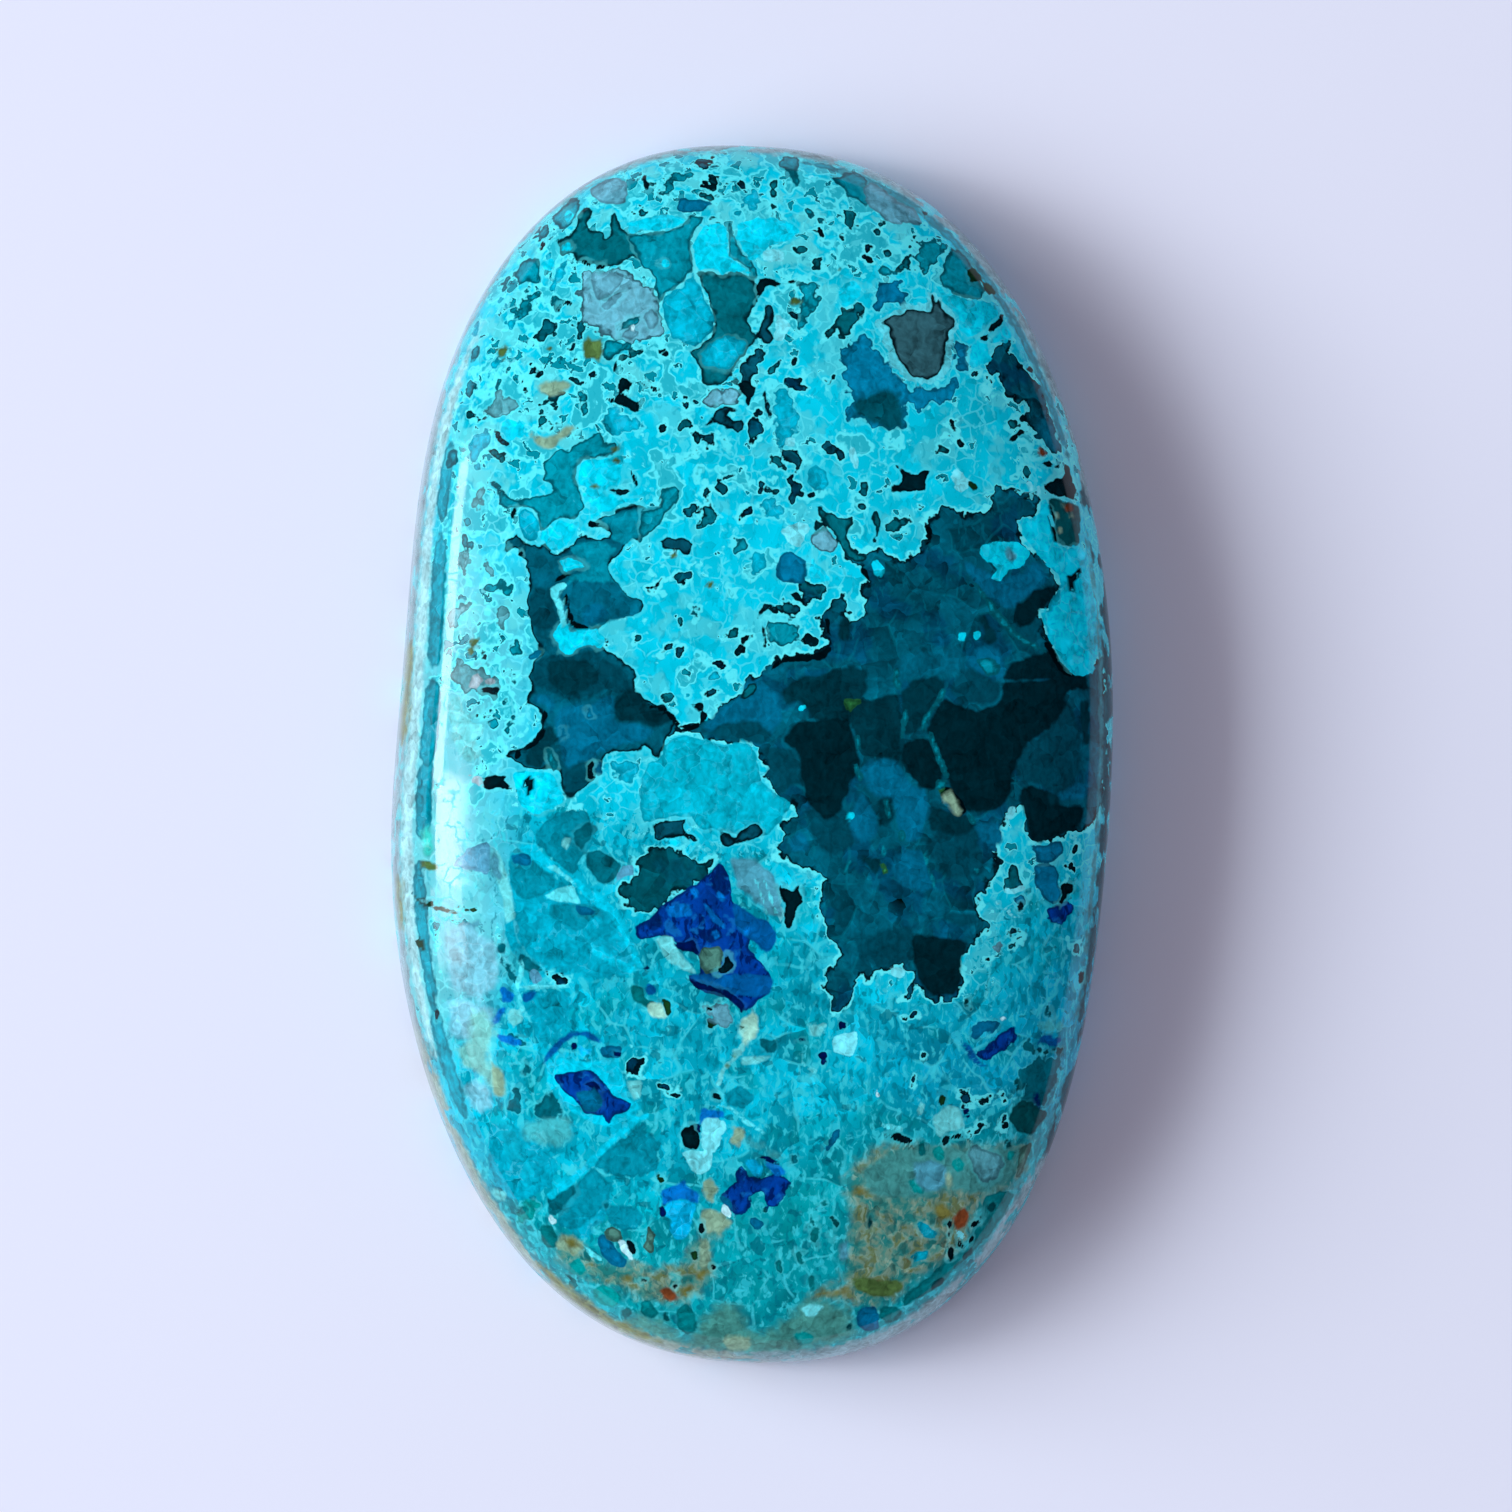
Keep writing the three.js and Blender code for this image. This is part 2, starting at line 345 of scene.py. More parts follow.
LEFT_SHOULDER = {
    "teal": [
        [(601, 431), (590, 436), (582, 440), (573, 443), (568, 451), (560, 447), (552, 453), (548, 459),
         (542, 464), (545, 475), (540, 481), (551, 484), (554, 490), (549, 494), (530, 497), (515, 500),
         (506, 493), (500, 484), (492, 480), (488, 483), (497, 490), (499, 498), (496, 506), (515, 508),
         (525, 507), (535, 512), (539, 522), (541, 533), (550, 525), (560, 518), (573, 520), (580, 514),
         (585, 507), (582, 498), (576, 483), (577, 470), (583, 460), (600, 458), (611, 456), (618, 449),
         (620, 443), (612, 441), (605, 446)],
        [(463, 515), (468, 514), (471, 521), (467, 527), (466, 535), (473, 545), (473, 550), (464, 550),
         (461, 542), (464, 530)],
        [(482, 588), (490, 585), (500, 580), (507, 577), (508, 583), (514, 587), (512, 593), (505, 593),
         (499, 588), (488, 592)],
        [(579, 390), (586, 393), (588, 402), (587, 413), (582, 414), (579, 405)],
        [(464, 385), (474, 380), (480, 383), (474, 392), (468, 400), (463, 396)],
        [(449, 450), (458, 447), (459, 460), (452, 470), (446, 468)],
    ],
    "deep teal": [
        [(490, 450), (495, 446), (500, 451), (506, 453), (506, 463), (502, 465), (496, 458)],
        [(535, 410), (540, 408), (546, 417), (552, 423), (557, 420), (559, 427), (552, 431), (545, 425),
         (537, 428), (540, 419)],
        [(464, 415), (470, 410), (479, 414), (483, 420), (475, 420)],
        [(552, 402), (559, 405), (561, 411), (554, 411)],
        [(574, 428), (580, 430), (581, 436), (576, 436)],
        [(540, 400), (548, 397), (560, 390), (567, 391), (560, 396), (550, 403), (541, 404)],
        [(543, 463), (549, 457), (556, 450), (565, 450), (560, 458), (551, 468), (545, 470)],
    ],
    "grey grain": [
        [(487, 415), (489, 405), (495, 397), (502, 393), (510, 398), (519, 404), (515, 411), (505, 416),
         (497, 421), (488, 421)],
        [(471, 501), (476, 490), (480, 484), (486, 486), (488, 492), (484, 500), (480, 508), (475, 513),
         (471, 508)],
        [(481, 563), (486, 556), (492, 560), (492, 568), (496, 571), (490, 577), (485, 573)],
        [(494, 612), (502, 605), (509, 610), (508, 618), (503, 626), (499, 628), (497, 618)],
        [(460, 552), (470, 555), (473, 560), (468, 565), (463, 577), (459, 575), (457, 564)],
        [(452, 606), (462, 603), (471, 601), (471, 608), (463, 617), (458, 628), (449, 628), (448, 615)],
    ],
    "sea": [
        [(467, 440), (473, 433), (480, 428), (488, 430), (493, 438), (488, 445), (482, 452), (480, 462),
         (477, 469), (471, 461), (467, 450)],
        [(517, 512), (524, 508), (532, 511), (538, 520), (539, 530), (536, 541), (529, 542), (522, 536),
         (518, 525)],
        [(604, 426), (606, 412), (612, 407), (622, 411), (632, 418), (645, 421), (640, 432), (622, 434),
         (608, 432)],
    ],
    "bright": [
        [(499, 425), (510, 417), (522, 418), (529, 428), (524, 438), (515, 445), (506, 440)],
        [(582, 461), (590, 459), (605, 459), (615, 457), (622, 454), (627, 460), (622, 470), (620, 480),
         (618, 488), (610, 490), (617, 494), (630, 498), (641, 497), (640, 501), (630, 502), (618, 504),
         (612, 512), (600, 514), (596, 521), (591, 521), (588, 513), (590, 505), (584, 500), (582, 491),
         (589, 489), (582, 486), (577, 480), (578, 470)],
        [(540, 541), (541, 533), (548, 528), (556, 524), (560, 518), (566, 523), (580, 522), (578, 530),
         (573, 538), (567, 546), (561, 547), (558, 554), (550, 549), (545, 541)],
        [(560, 560), (570, 557), (580, 561), (587, 568), (575, 569), (567, 573), (562, 567)],
    ],
    "beige": [
        [(529, 430), (540, 436), (552, 437), (560, 430), (572, 422), (576, 430), (568, 435), (560, 441),
         (555, 449), (545, 449), (535, 444)],
        [(535, 385), (545, 382), (560, 380), (576, 384), (565, 392), (550, 396), (539, 393)],
    ],
    "ink": [
        [(493, 427), (497, 430), (502, 437), (508, 443), (512, 448), (505, 448), (499, 442), (494, 435)],
        [(607, 491), (614, 488), (625, 490), (631, 487), (634, 480), (628, 469), (631, 468), (638, 478),
         (636, 488), (627, 495), (613, 496)],
    ],
    "black": [
        [(603, 394), (613, 398), (619, 390), (617, 383), (622, 378), (633, 382), (633, 388), (624, 390),
         (622, 394), (632, 400), (641, 401), (641, 407), (636, 412), (627, 410), (618, 402), (609, 401)],
        [(511, 507), (517, 507), (518, 514), (514, 522), (510, 515)],
        [(506, 542), (511, 544), (512, 551), (507, 550)],
        [(518, 548), (524, 552), (523, 557), (519, 554)],
        [(588, 521), (594, 521), (606, 527), (598, 528), (588, 527)],
    ],
    "olive": [
        [(590, 486), (596, 483), (599, 487), (594, 489)],
        [(612, 460), (618, 458), (621, 462), (616, 465)],
        [(612, 448), (620, 443), (621, 450), (613, 454)],
    ],
}
CENTRE = {
    "ink": [
        [(682, 396), (688, 400), (695, 401), (690, 408), (687, 412), (683, 405)],
        [(658, 434), (660, 424), (664, 419), (669, 425), (664, 431)],
        [(705, 426), (711, 420), (715, 411), (722, 406), (736, 407), (739, 412), (730, 413), (727, 416),
         (735, 420), (744, 418), (743, 426), (738, 435), (733, 430), (727, 432), (720, 424), (713, 423)],
        [(781, 452), (790, 447), (797, 453), (806, 458), (804, 465), (799, 471), (796, 477), (801, 485),
         (801, 491), (815, 494), (810, 498), (797, 496), (796, 502), (793, 510), (787, 509), (791, 499),
         (789, 489), (784, 481), (780, 477), (788, 477), (793, 471), (790, 464)],
        [(821, 449), (825, 441), (830, 438), (835, 445), (844, 449), (842, 459), (835, 455), (827, 454)],
        [(758, 484), (763, 480), (763, 492), (758, 494)],
        [(763, 389), (766, 389), (769, 402), (773, 417), (769, 419), (764, 402)],
        [(658, 541), (665, 537), (680, 538), (689, 541), (695, 545), (690, 554), (683, 555), (677, 551),
         (671, 550), (663, 548)],
        [(757, 619), (758, 612), (765, 603), (772, 604), (779, 612), (776, 615), (769, 609), (763, 612)],
    ],
    "black": [
        [(733, 380), (748, 380), (757, 388), (755, 395), (751, 400), (750, 407), (745, 402), (743, 392)],
        [(786, 594), (797, 590), (801, 596), (805, 604), (797, 601)],
        [(737, 516), (742, 509), (748, 507), (752, 501), (753, 508), (747, 514), (741, 519)],
    ],
    "dark grain": [
        [(674, 433), (677, 425), (680, 417), (690, 417), (695, 424), (697, 430), (704, 434), (717, 434),
         (715, 448), (708, 447), (703, 442), (700, 448), (697, 455), (694, 446), (691, 437), (692, 430),
         (685, 428), (679, 434)],
        [(746, 437), (748, 428), (753, 420), (752, 413), (757, 411), (760, 420), (764, 431), (759, 438),
         (752, 442), (744, 444)],
        [(703, 481), (710, 486), (714, 484), (714, 472), (720, 473), (721, 483), (730, 485), (740, 493),
         (729, 491), (723, 498), (718, 491), (709, 489), (704, 495)],
        [(680, 512), (690, 507), (700, 507), (703, 496), (708, 500), (713, 509), (717, 517), (712, 523),
         (705, 521), (705, 528), (696, 526), (701, 520), (699, 514), (692, 515), (688, 520)],
        [(671, 576), (678, 571), (691, 571), (691, 578), (683, 583), (679, 591), (674, 592), (675, 584)],
        [(658, 576), (662, 577), (661, 588), (652, 591), (646, 589), (655, 584)],
        [(812, 483), (819, 477), (820, 488), (812, 490)],
        [(797, 590), (802, 582), (815, 583), (829, 582), (828, 591), (822, 599), (812, 603), (803, 604)],
        [(776, 607), (783, 601), (790, 599), (797, 605), (804, 612), (795, 616), (782, 614)],
    ],
    "deep teal": [
        [(773, 454), (776, 456), (783, 462), (788, 471), (780, 469), (771, 463)],
        [(766, 485), (771, 485), (771, 494), (766, 493)],
        [(774, 490), (780, 487), (782, 494), (776, 495)],
        [(862, 484), (866, 479), (869, 488), (866, 498), (863, 493)],
        [(857, 504), (862, 501), (867, 508), (860, 510)],
        [(726, 477), (731, 472), (734, 477), (729, 481)],
        [(813, 504), (820, 506), (829, 513), (841, 516), (851, 518), (854, 523), (850, 530), (848, 540),
         (853, 551), (866, 556), (866, 562), (852, 560), (843, 552), (838, 541), (829, 528), (820, 518)],
        [(814, 519), (818, 521), (821, 527), (816, 533)],
        [(677, 618), (683, 616), (685, 624), (679, 627)],
    ],
    "teal": [
        [(640, 507), (650, 509), (657, 508), (662, 503), (660, 498), (655, 497), (662, 491), (668, 486),
         (675, 484), (680, 490), (680, 496), (674, 505), (667, 513), (662, 521), (654, 529), (646, 537),
         (640, 541)],
        [(722, 439), (726, 442), (732, 452), (727, 454), (721, 447)],
        [(736, 541), (745, 539), (750, 545), (743, 551), (734, 554), (732, 549)],
        [(692, 604), (700, 600), (698, 612), (695, 621), (691, 615)],
    ],
    "blue teal": [
        [(775, 573), (778, 562), (782, 555), (789, 550), (800, 556), (807, 560), (807, 575), (803, 583),
         (785, 583), (778, 579)],
    ],
    "sea": [
        [(773, 390), (785, 385), (795, 400), (797, 412), (801, 425), (793, 436), (784, 448), (777, 446),
         (774, 432)],
        [(762, 503), (770, 499), (783, 503), (785, 512), (778, 519), (769, 519), (762, 512)],
        [(808, 469), (816, 465), (826, 470), (829, 480), (825, 491), (815, 491), (806, 484)],
        [(747, 557), (760, 551), (766, 560), (758, 576), (751, 570)],
    ],
    "bright": [
        [(808, 566), (813, 557), (822, 568), (831, 579), (826, 583), (811, 584)],
    ],
    "quartz": [
        [(704, 396), (715, 387), (730, 389), (741, 392), (743, 402), (733, 406), (722, 404), (711, 411),
         (705, 405)],
        [(810, 536), (818, 529), (826, 527), (833, 535), (839, 546), (832, 551), (821, 551), (811, 545)],
    ],
    "pale": [
        [(785, 438), (796, 437), (795, 447), (785, 447)],
        [(850, 444), (856, 449), (860, 465), (856, 471), (850, 458)],
        [(738, 456), (745, 452), (748, 459), (742, 464)],
        [(780, 530), (800, 521), (810, 524), (806, 537), (800, 548), (786, 543)],
        [(668, 552), (675, 548), (680, 550), (676, 557), (670, 558)],
    ],
    "olive": [
        [(705, 585), (712, 581), (718, 585), (711, 588)],
        [(670, 556), (676, 553), (676, 559), (671, 560)],
    ],
}
DARK_LENS = {
    "blue": [
        [(840, 352), (850, 341), (858, 334), (866, 332), (873, 343), (880, 352), (887, 362), (894, 372),
         (901, 381), (906, 389), (918, 387), (932, 388), (945, 384), (956, 378), (957, 388), (953, 395),
         (947, 402), (940, 406), (932, 405), (924, 409), (917, 411), (914, 404), (909, 403), (905, 409),
         (905, 428), (897, 430), (890, 431), (885, 426), (880, 424), (876, 431), (872, 427), (867, 422),
         (860, 423), (853, 420), (847, 417), (850, 408), (855, 402), (849, 393), (843, 383), (840, 370)],
    ],
    "dark zone": [
        [(994, 345), (1005, 342), (1012, 340), (1012, 350), (1018, 360), (1025, 368), (1031, 375),
         (1038, 380), (1044, 393), (1046, 405), (1048, 414), (1055, 425), (1061, 440), (1060, 452),
         (1054, 457), (1046, 450), (1039, 438), (1032, 431), (1026, 424), (1024, 416), (1027, 410),
         (1025, 404), (1016, 401), (1008, 399), (1003, 390), (1000, 380), (996, 373), (988, 375),
         (972, 374), (972, 370), (990, 365), (993, 353)],
    ],
    "teal cloud": [
        [(1037, 420), (1045, 418), (1055, 427), (1060, 440), (1057, 452), (1048, 447), (1041, 437)],
    ],
    "shade": [
        [(857, 398), (872, 393), (886, 388), (900, 394), (904, 410), (903, 429), (890, 430), (878, 424),
         (865, 421), (852, 416)],
    ],
}
RIGHT_SHOULDER = {
    "sea": [
        [(1047, 607), (1058, 590), (1070, 566), (1082, 572), (1090, 600), (1093, 640), (1089, 662),
         (1078, 664), (1066, 655), (1057, 640), (1050, 622)],
    ],
    "black": [
        [(948, 421), (951, 418), (954, 422), (957, 436), (964, 444), (958, 446), (952, 439), (943, 438),
         (947, 430)],
        [(896, 465), (902, 468), (908, 473), (914, 475), (922, 472), (927, 468), (932, 471), (927, 476),
         (926, 484), (923, 490), (908, 490), (900, 495), (892, 491), (891, 484), (900, 482), (902, 475)],
        [(984, 378), (988, 379), (991, 389), (994, 396), (989, 396), (986, 388)],
        [(1007, 440), (1014, 434), (1020, 429), (1029, 432), (1020, 436), (1016, 441), (1011, 442)],
        [(1063, 460), (1068, 461), (1071, 475), (1074, 485), (1079, 495), (1075, 500), (1065, 497),
         (1055, 495), (1045, 490), (1043, 484), (1060, 478), (1064, 471)],
        [(1065, 572), (1070, 576), (1076, 569), (1083, 567), (1080, 574), (1075, 581), (1074, 591),
         (1070, 591), (1067, 583)],
        [(1038, 463), (1046, 461), (1056, 464), (1061, 462), (1060, 470), (1051, 468), (1043, 467)],
        [(1048, 506), (1052, 508), (1056, 520), (1055, 533), (1058, 545), (1054, 541), (1052, 530)],
    ],
    "navy": [
        [(903, 477), (915, 478), (922, 480), (919, 487), (908, 487), (901, 488)],
    ],
    "deep teal": [
        [(935, 449), (944, 446), (947, 450), (938, 453)],
        [(1007, 423), (1014, 418), (1021, 425), (1014, 432), (1007, 431)],
        [(1024, 465), (1028, 461), (1031, 475), (1027, 481), (1023, 473)],
        [(882, 526), (888, 519), (895, 517), (903, 519), (913, 522), (905, 527), (897, 531), (888, 531)],
        [(872, 512), (877, 509), (880, 520), (881, 530), (878, 540), (875, 549), (872, 545), (876, 533),
         (873, 522)],
    ],
    "green dark": [
        [(1048, 497), (1058, 499), (1068, 502), (1078, 505), (1081, 516), (1081, 531), (1078, 546),
         (1068, 547), (1058, 544), (1054, 532), (1053, 520)],
    ],
    "green dim": [
        [(1062, 520), (1072, 516), (1078, 528), (1072, 542), (1064, 538)],
    ],
    "beige": [
        [(1060, 502), (1066, 503), (1066, 508), (1061, 508)],
        [(1054, 512), (1058, 513), (1058, 519), (1055, 518)],
        [(1068, 512), (1073, 512), (1074, 517), (1069, 518)],
        [(1058, 527), (1062, 528), (1062, 534), (1058, 533)],
    ],
    "rust": [
        [(1063, 505), (1068, 502), (1074, 507), (1072, 513), (1066, 512)],
        [(1035, 448), (1040, 445), (1044, 452), (1043, 460), (1037, 457)],
        [(1051, 464), (1056, 463), (1058, 467), (1053, 468)],
    ],
    "pale": [
        [(949, 470), (959, 469), (968, 478), (971, 488), (963, 493), (956, 488), (952, 480)],
        [(1026, 483), (1032, 478), (1037, 488), (1030, 492)],
        [(1036, 487), (1040, 485), (1041, 497), (1037, 496)],
    ],
    "moss": [
        [(967, 481), (975, 483), (979, 489), (973, 492), (968, 487)],
    ],
    "bright": [
        [(871, 563), (878, 560), (885, 566), (885, 574), (879, 579), (873, 573)],
        [(980, 553), (983, 546), (990, 542), (1000, 540), (1010, 541), (1018, 542), (1025, 546),
         (1031, 551), (1027, 559), (1022, 569), (1015, 568), (1008, 570), (1004, 578), (998, 581),
         (989, 579), (996, 573), (998, 568), (994, 563), (988, 563), (983, 558)],
        [(1041, 502), (1045, 498), (1048, 506), (1051, 517), (1053, 535), (1057, 544), (1067, 548),
         (1077, 546), (1086, 551), (1090, 560), (1087, 568), (1092, 584), (1096, 604), (1098, 650),
         (1094, 672), (1082, 676), (1070, 674), (1062, 662), (1055, 650), (1048, 638), (1045, 624),
         (1040, 612), (1044, 608), (1050, 613), (1055, 604), (1061, 596), (1061, 584), (1057, 575),
         (1050, 567), (1040, 556), (1033, 549), (1026, 541), (1021, 532), (1021, 521), (1025, 517),
         (1033, 519), (1039, 511)],
    ],
    "slate": [
        [(1004, 553), (1008, 547), (1014, 551), (1019, 556), (1013, 561), (1007, 558)],
    ],
}
MIDDLE_ZONES = {
    "dark zone": [
        [(868, 553), (880, 546), (893, 556), (903, 562), (914, 555), (925, 543), (922, 540), (930, 533),
         (928, 528), (921, 521), (929, 514), (942, 506), (957, 510), (972, 514), (986, 510), (990, 500),
         (995, 487), (1002, 486), (1016, 491), (1028, 497), (1035, 494), (1040, 499), (1039, 508),
         (1036, 517), (1023, 517), (1020, 525), (1022, 536), (1027, 545), (1040, 557), (1048, 567),
         (1056, 573), (1060, 588), (1055, 598), (1050, 612), (1043, 608), (1038, 612), (1044, 633),
         (1054, 640), (1055, 650), (1060, 662), (1069, 674), (1077, 667), (1104, 656), (1107, 672),
         (1108, 740), (1106, 785), (1100, 815), (1087, 830), (1065, 835), (1045, 843), (1030, 840),
         (1023, 826), (1024, 812), (1019, 806), (1012, 813), (1003, 822), (1003, 838), (997, 844),
         (1002, 868), (982, 893), (977, 910), (992, 931), (976, 937), (970, 948), (963, 956), (960, 975),
         (965, 985), (958, 999), (945, 1000), (931, 1002), (922, 990), (915, 985), (910, 999),
         (901, 999), (910, 983), (914, 973), (898, 965), (884, 973), (876, 970), (866, 985), (862, 975),
         (850, 1000), (847, 1009), (832, 1014), (828, 995), (820, 975), (836, 964), (839, 954),
         (825, 929), (816, 905), (820, 893), (823, 880), (815, 871), (805, 870), (787, 862), (772, 850),
         (784, 838), (780, 824), (790, 820), (796, 812), (792, 803), (780, 800), (774, 790), (770, 782),
         (760, 778), (768, 770), (758, 760), (757, 750), (753, 741), (745, 740), (728, 748), (722, 742),
         (700, 737), (684, 732), (667, 738), (662, 742), (662, 720), (676, 722), (684, 726), (696, 724),
         (707, 716), (713, 715), (716, 708), (722, 702), (737, 698), (740, 690), (739, 680), (763, 673),
         (768, 662), (780, 655), (800, 652), (821, 650), (824, 640), (819, 620), (815, 617), (824, 611),
         (834, 600), (842, 590), (849, 610), (845, 616), (850, 620), (866, 617), (865, 602), (856, 590),
         (866, 582), (862, 566), (852, 563), (843, 552), (838, 541), (829, 528), (820, 518), (829, 513),
         (851, 518), (850, 530), (848, 540), (853, 551)],
        [(536, 640), (530, 630), (527, 605), (529, 575), (527, 562), (516, 549), (510, 552), (505, 558),
         (503, 550), (504, 541), (512, 537), (518, 530), (523, 542), (538, 545), (545, 543), (552, 551),
         (559, 553), (570, 546), (584, 534), (592, 536), (600, 540), (610, 537), (611, 533), (600, 527),
         (590, 525), (600, 516), (614, 514), (617, 508), (630, 505), (642, 505), (650, 509), (662, 503),
         (655, 497), (668, 486), (675, 484), (680, 496), (667, 513), (654, 529), (640, 541), (628, 540),
         (624, 550), (607, 565), (612, 573), (624, 590), (630, 596), (640, 596), (645, 605), (640, 613),
         (622, 618), (612, 617), (597, 628), (600, 645), (613, 654), (632, 668), (637, 673), (633, 688),
         (645, 700), (665, 705), (676, 722), (667, 738), (661, 755), (658, 760), (645, 747), (640, 752),
         (625, 753), (615, 749), (603, 759), (597, 778), (591, 783), (580, 792), (569, 797), (559, 785),
         (560, 775), (556, 770), (535, 771), (522, 767), (516, 761), (504, 756), (513, 749), (521, 747),
         (538, 737), (542, 715), (536, 708), (524, 702), (532, 688), (528, 675), (533, 662), (540, 655)],
    ],
    "green zone": [
        [(636, 856), (652, 850), (665, 845), (676, 848), (690, 857), (705, 861), (716, 858), (710, 868),
         (702, 880), (692, 888), (678, 893), (665, 902), (652, 913), (641, 917), (634, 912), (624, 903),
         (617, 893), (619, 885), (628, 882), (637, 872), (634, 864)],
    ],
    "azurite": [
        [(1045, 918), (1050, 908), (1058, 902), (1068, 900), (1074, 903), (1073, 917), (1062, 922),
         (1052, 925)],
    ],
    "lower mass": [
        [(640, 823), (640, 790), (645, 765), (661, 758), (667, 740), (684, 734), (700, 739), (722, 744),
         (745, 742), (757, 752), (760, 778), (774, 792), (792, 805), (780, 822), (765, 838), (741, 835),
         (718, 830), (703, 830), (690, 817), (665, 818)],
    ],
}
LEFT_SIDE = {
    "milk": [
        [(449, 700), (458, 695), (465, 710), (475, 720), (485, 725), (478, 745), (482, 757), (470, 765),
         (458, 752), (452, 735), (447, 715)],
    ],
    "pink grey": [
        [(470, 678), (478, 672), (483, 680), (477, 690), (468, 688)],
        [(485, 679), (492, 677), (497, 682), (492, 686), (486, 685)],
        [(467, 775), (475, 774), (483, 778), (484, 788), (477, 786), (470, 780)],
    ],
    "ink": [
        [(477, 690), (486, 687), (498, 686), (500, 690), (498, 697), (490, 694)],
        [(479, 716), (485, 712), (488, 717), (484, 720)],
        [(434, 1012), (439, 1008), (439, 1020), (434, 1020)],
    ],
    "teal": [
        [(503, 702), (510, 698), (516, 706), (508, 712)],
        [(494, 712), (500, 715), (498, 726), (493, 730), (490, 722)],
        [(505, 722), (513, 718), (520, 715), (518, 726), (508, 735), (502, 731)],
        [(515, 638), (521, 636), (524, 645), (517, 655), (510, 657), (509, 650)],
        [(510, 674), (516, 674), (516, 682), (511, 682)],
    ],
    "deep teal": [
        [(482, 650), (488, 650), (491, 657), (486, 660), (481, 656)],
    ],
    "black": [
        [(482, 776), (500, 775), (507, 776), (503, 781), (512, 787), (514, 792), (506, 791), (498, 787),
         (492, 790), (484, 789)],
        [(522, 778), (530, 777), (535, 783), (531, 792), (528, 797), (525, 787)],
        [(586, 767), (593, 760), (592, 770), (600, 781), (588, 779)],
    ],
    "sea": [
        [(610, 762), (622, 758), (640, 762), (640, 775), (628, 785), (616, 780)],
    ],
    "bright": [
        [(512, 772), (530, 770), (552, 772), (560, 790), (565, 800), (550, 810), (535, 815), (520, 805),
         (515, 790)],
    ],
    "blue teal": [
        [(594, 763), (602, 762), (602, 775), (595, 778)],
    ],
    "blue": [
        [(528, 656), (536, 650), (545, 650), (540, 657), (530, 661)],
        [(559, 727), (565, 728), (569, 736), (563, 738)],
        [(585, 708), (591, 706), (593, 717), (587, 719)],
    ],
    "mint": [
        [(421, 830), (430, 826), (434, 840), (432, 856), (424, 857)],
    ],
    "olive": [
        [(420, 862), (428, 860), (437, 865), (438, 871), (428, 870), (421, 868)],
        [(468, 642), (475, 640), (480, 637), (478, 645), (470, 655), (466, 652)],
    ],
    "moss": [
        [(414, 939), (420, 938), (427, 945), (424, 950), (417, 947)],
        [(415, 897), (425, 899), (436, 902), (434, 908), (425, 907), (417, 902)],
    ],
    "grey grain": [
        [(449, 664), (460, 660), (474, 665), (488, 671), (500, 681), (501, 692), (497, 700), (487, 696),
         (476, 694), (462, 692), (453, 684)],
    ],
}
RIGHT_SIDE = {
    "blue teal": [
        [(1034, 865), (1045, 862), (1055, 865), (1060, 873), (1058, 884), (1064, 890), (1060, 903),
         (1052, 905), (1045, 900), (1034, 885)],
        [(1010, 898), (1020, 894), (1030, 893), (1028, 901), (1022, 908), (1014, 905)],
        [(1030, 845), (1045, 845), (1060, 840), (1064, 852), (1055, 862), (1038, 864)],
        [(985, 843), (997, 843), (997, 853), (988, 854)],
    ],
    "beige": [
        [(942, 799), (945, 791), (951, 789), (957, 800), (963, 812), (957, 815), (949, 807)],
    ],
    "black": [
        [(1058, 886), (1066, 882), (1074, 883), (1073, 890), (1066, 898), (1061, 906), (1057, 903),
         (1062, 893)],
        [(1068, 862), (1073, 862), (1074, 870), (1069, 871)],
        [(975, 961), (982, 958), (993, 959), (990, 963), (981, 965)],
        [(1074, 992), (1076, 982), (1080, 973), (1084, 969), (1082, 980), (1078, 991)],
        [(903, 1019), (909, 1015), (916, 1011), (915, 1017), (905, 1023)],
        [(908, 1078), (914, 1075), (916, 1083), (911, 1088)],
        [(1069, 858), (1073, 848), (1078, 844), (1077, 852), (1072, 861)],
    ],
    "ink": [
        [(1008, 930), (1014, 926), (1019, 928), (1015, 935), (1010, 937)],
        [(1015, 904), (1022, 903), (1025, 909), (1018, 912)],
        [(921, 1053), (925, 1053), (926, 1060), (922, 1060)],
        [(960, 1090), (968, 1090), (973, 1100), (968, 1107), (961, 1102)],
        [(979, 1098), (990, 1098), (989, 1104), (980, 1104)],
        [(1001, 1092), (1007, 1096), (1004, 1102), (1000, 1099)],
    ],
    "deep teal": [
        [(1004, 880), (1007, 872), (1012, 866), (1018, 868), (1024, 876), (1024, 884), (1015, 888),
         (1006, 889)],
        [(1008, 948), (1014, 940), (1022, 934), (1024, 937), (1016, 945), (1010, 951)],
        [(740, 690), (755, 682), (760, 690), (748, 700), (741, 700)],
    ],
    "teal": [
        [(1070, 940), (1078, 938), (1080, 952), (1073, 953)],
        [(1044, 1004), (1050, 1004), (1052, 1018), (1046, 1018)],
        [(765, 620), (778, 618), (795, 620), (800, 632), (792, 645), (778, 648), (766, 640)],
    ],
    "moss": [
        [(941, 1092), (947, 1098), (943, 1106), (938, 1104)],
    ],
    "grey quartz": [
        [(995, 938), (1003, 936), (1006, 944), (1000, 950), (994, 948)],
    ],
    "pale": [
        [(890, 968), (900, 966), (906, 972), (903, 980), (892, 976)],
        [(1005, 888), (1012, 890), (1024, 885), (1026, 889), (1014, 895), (1006, 893)],
        [(998, 900), (1004, 905), (1015, 915), (1020, 922), (1010, 918), (1000, 908)],
    ],
}
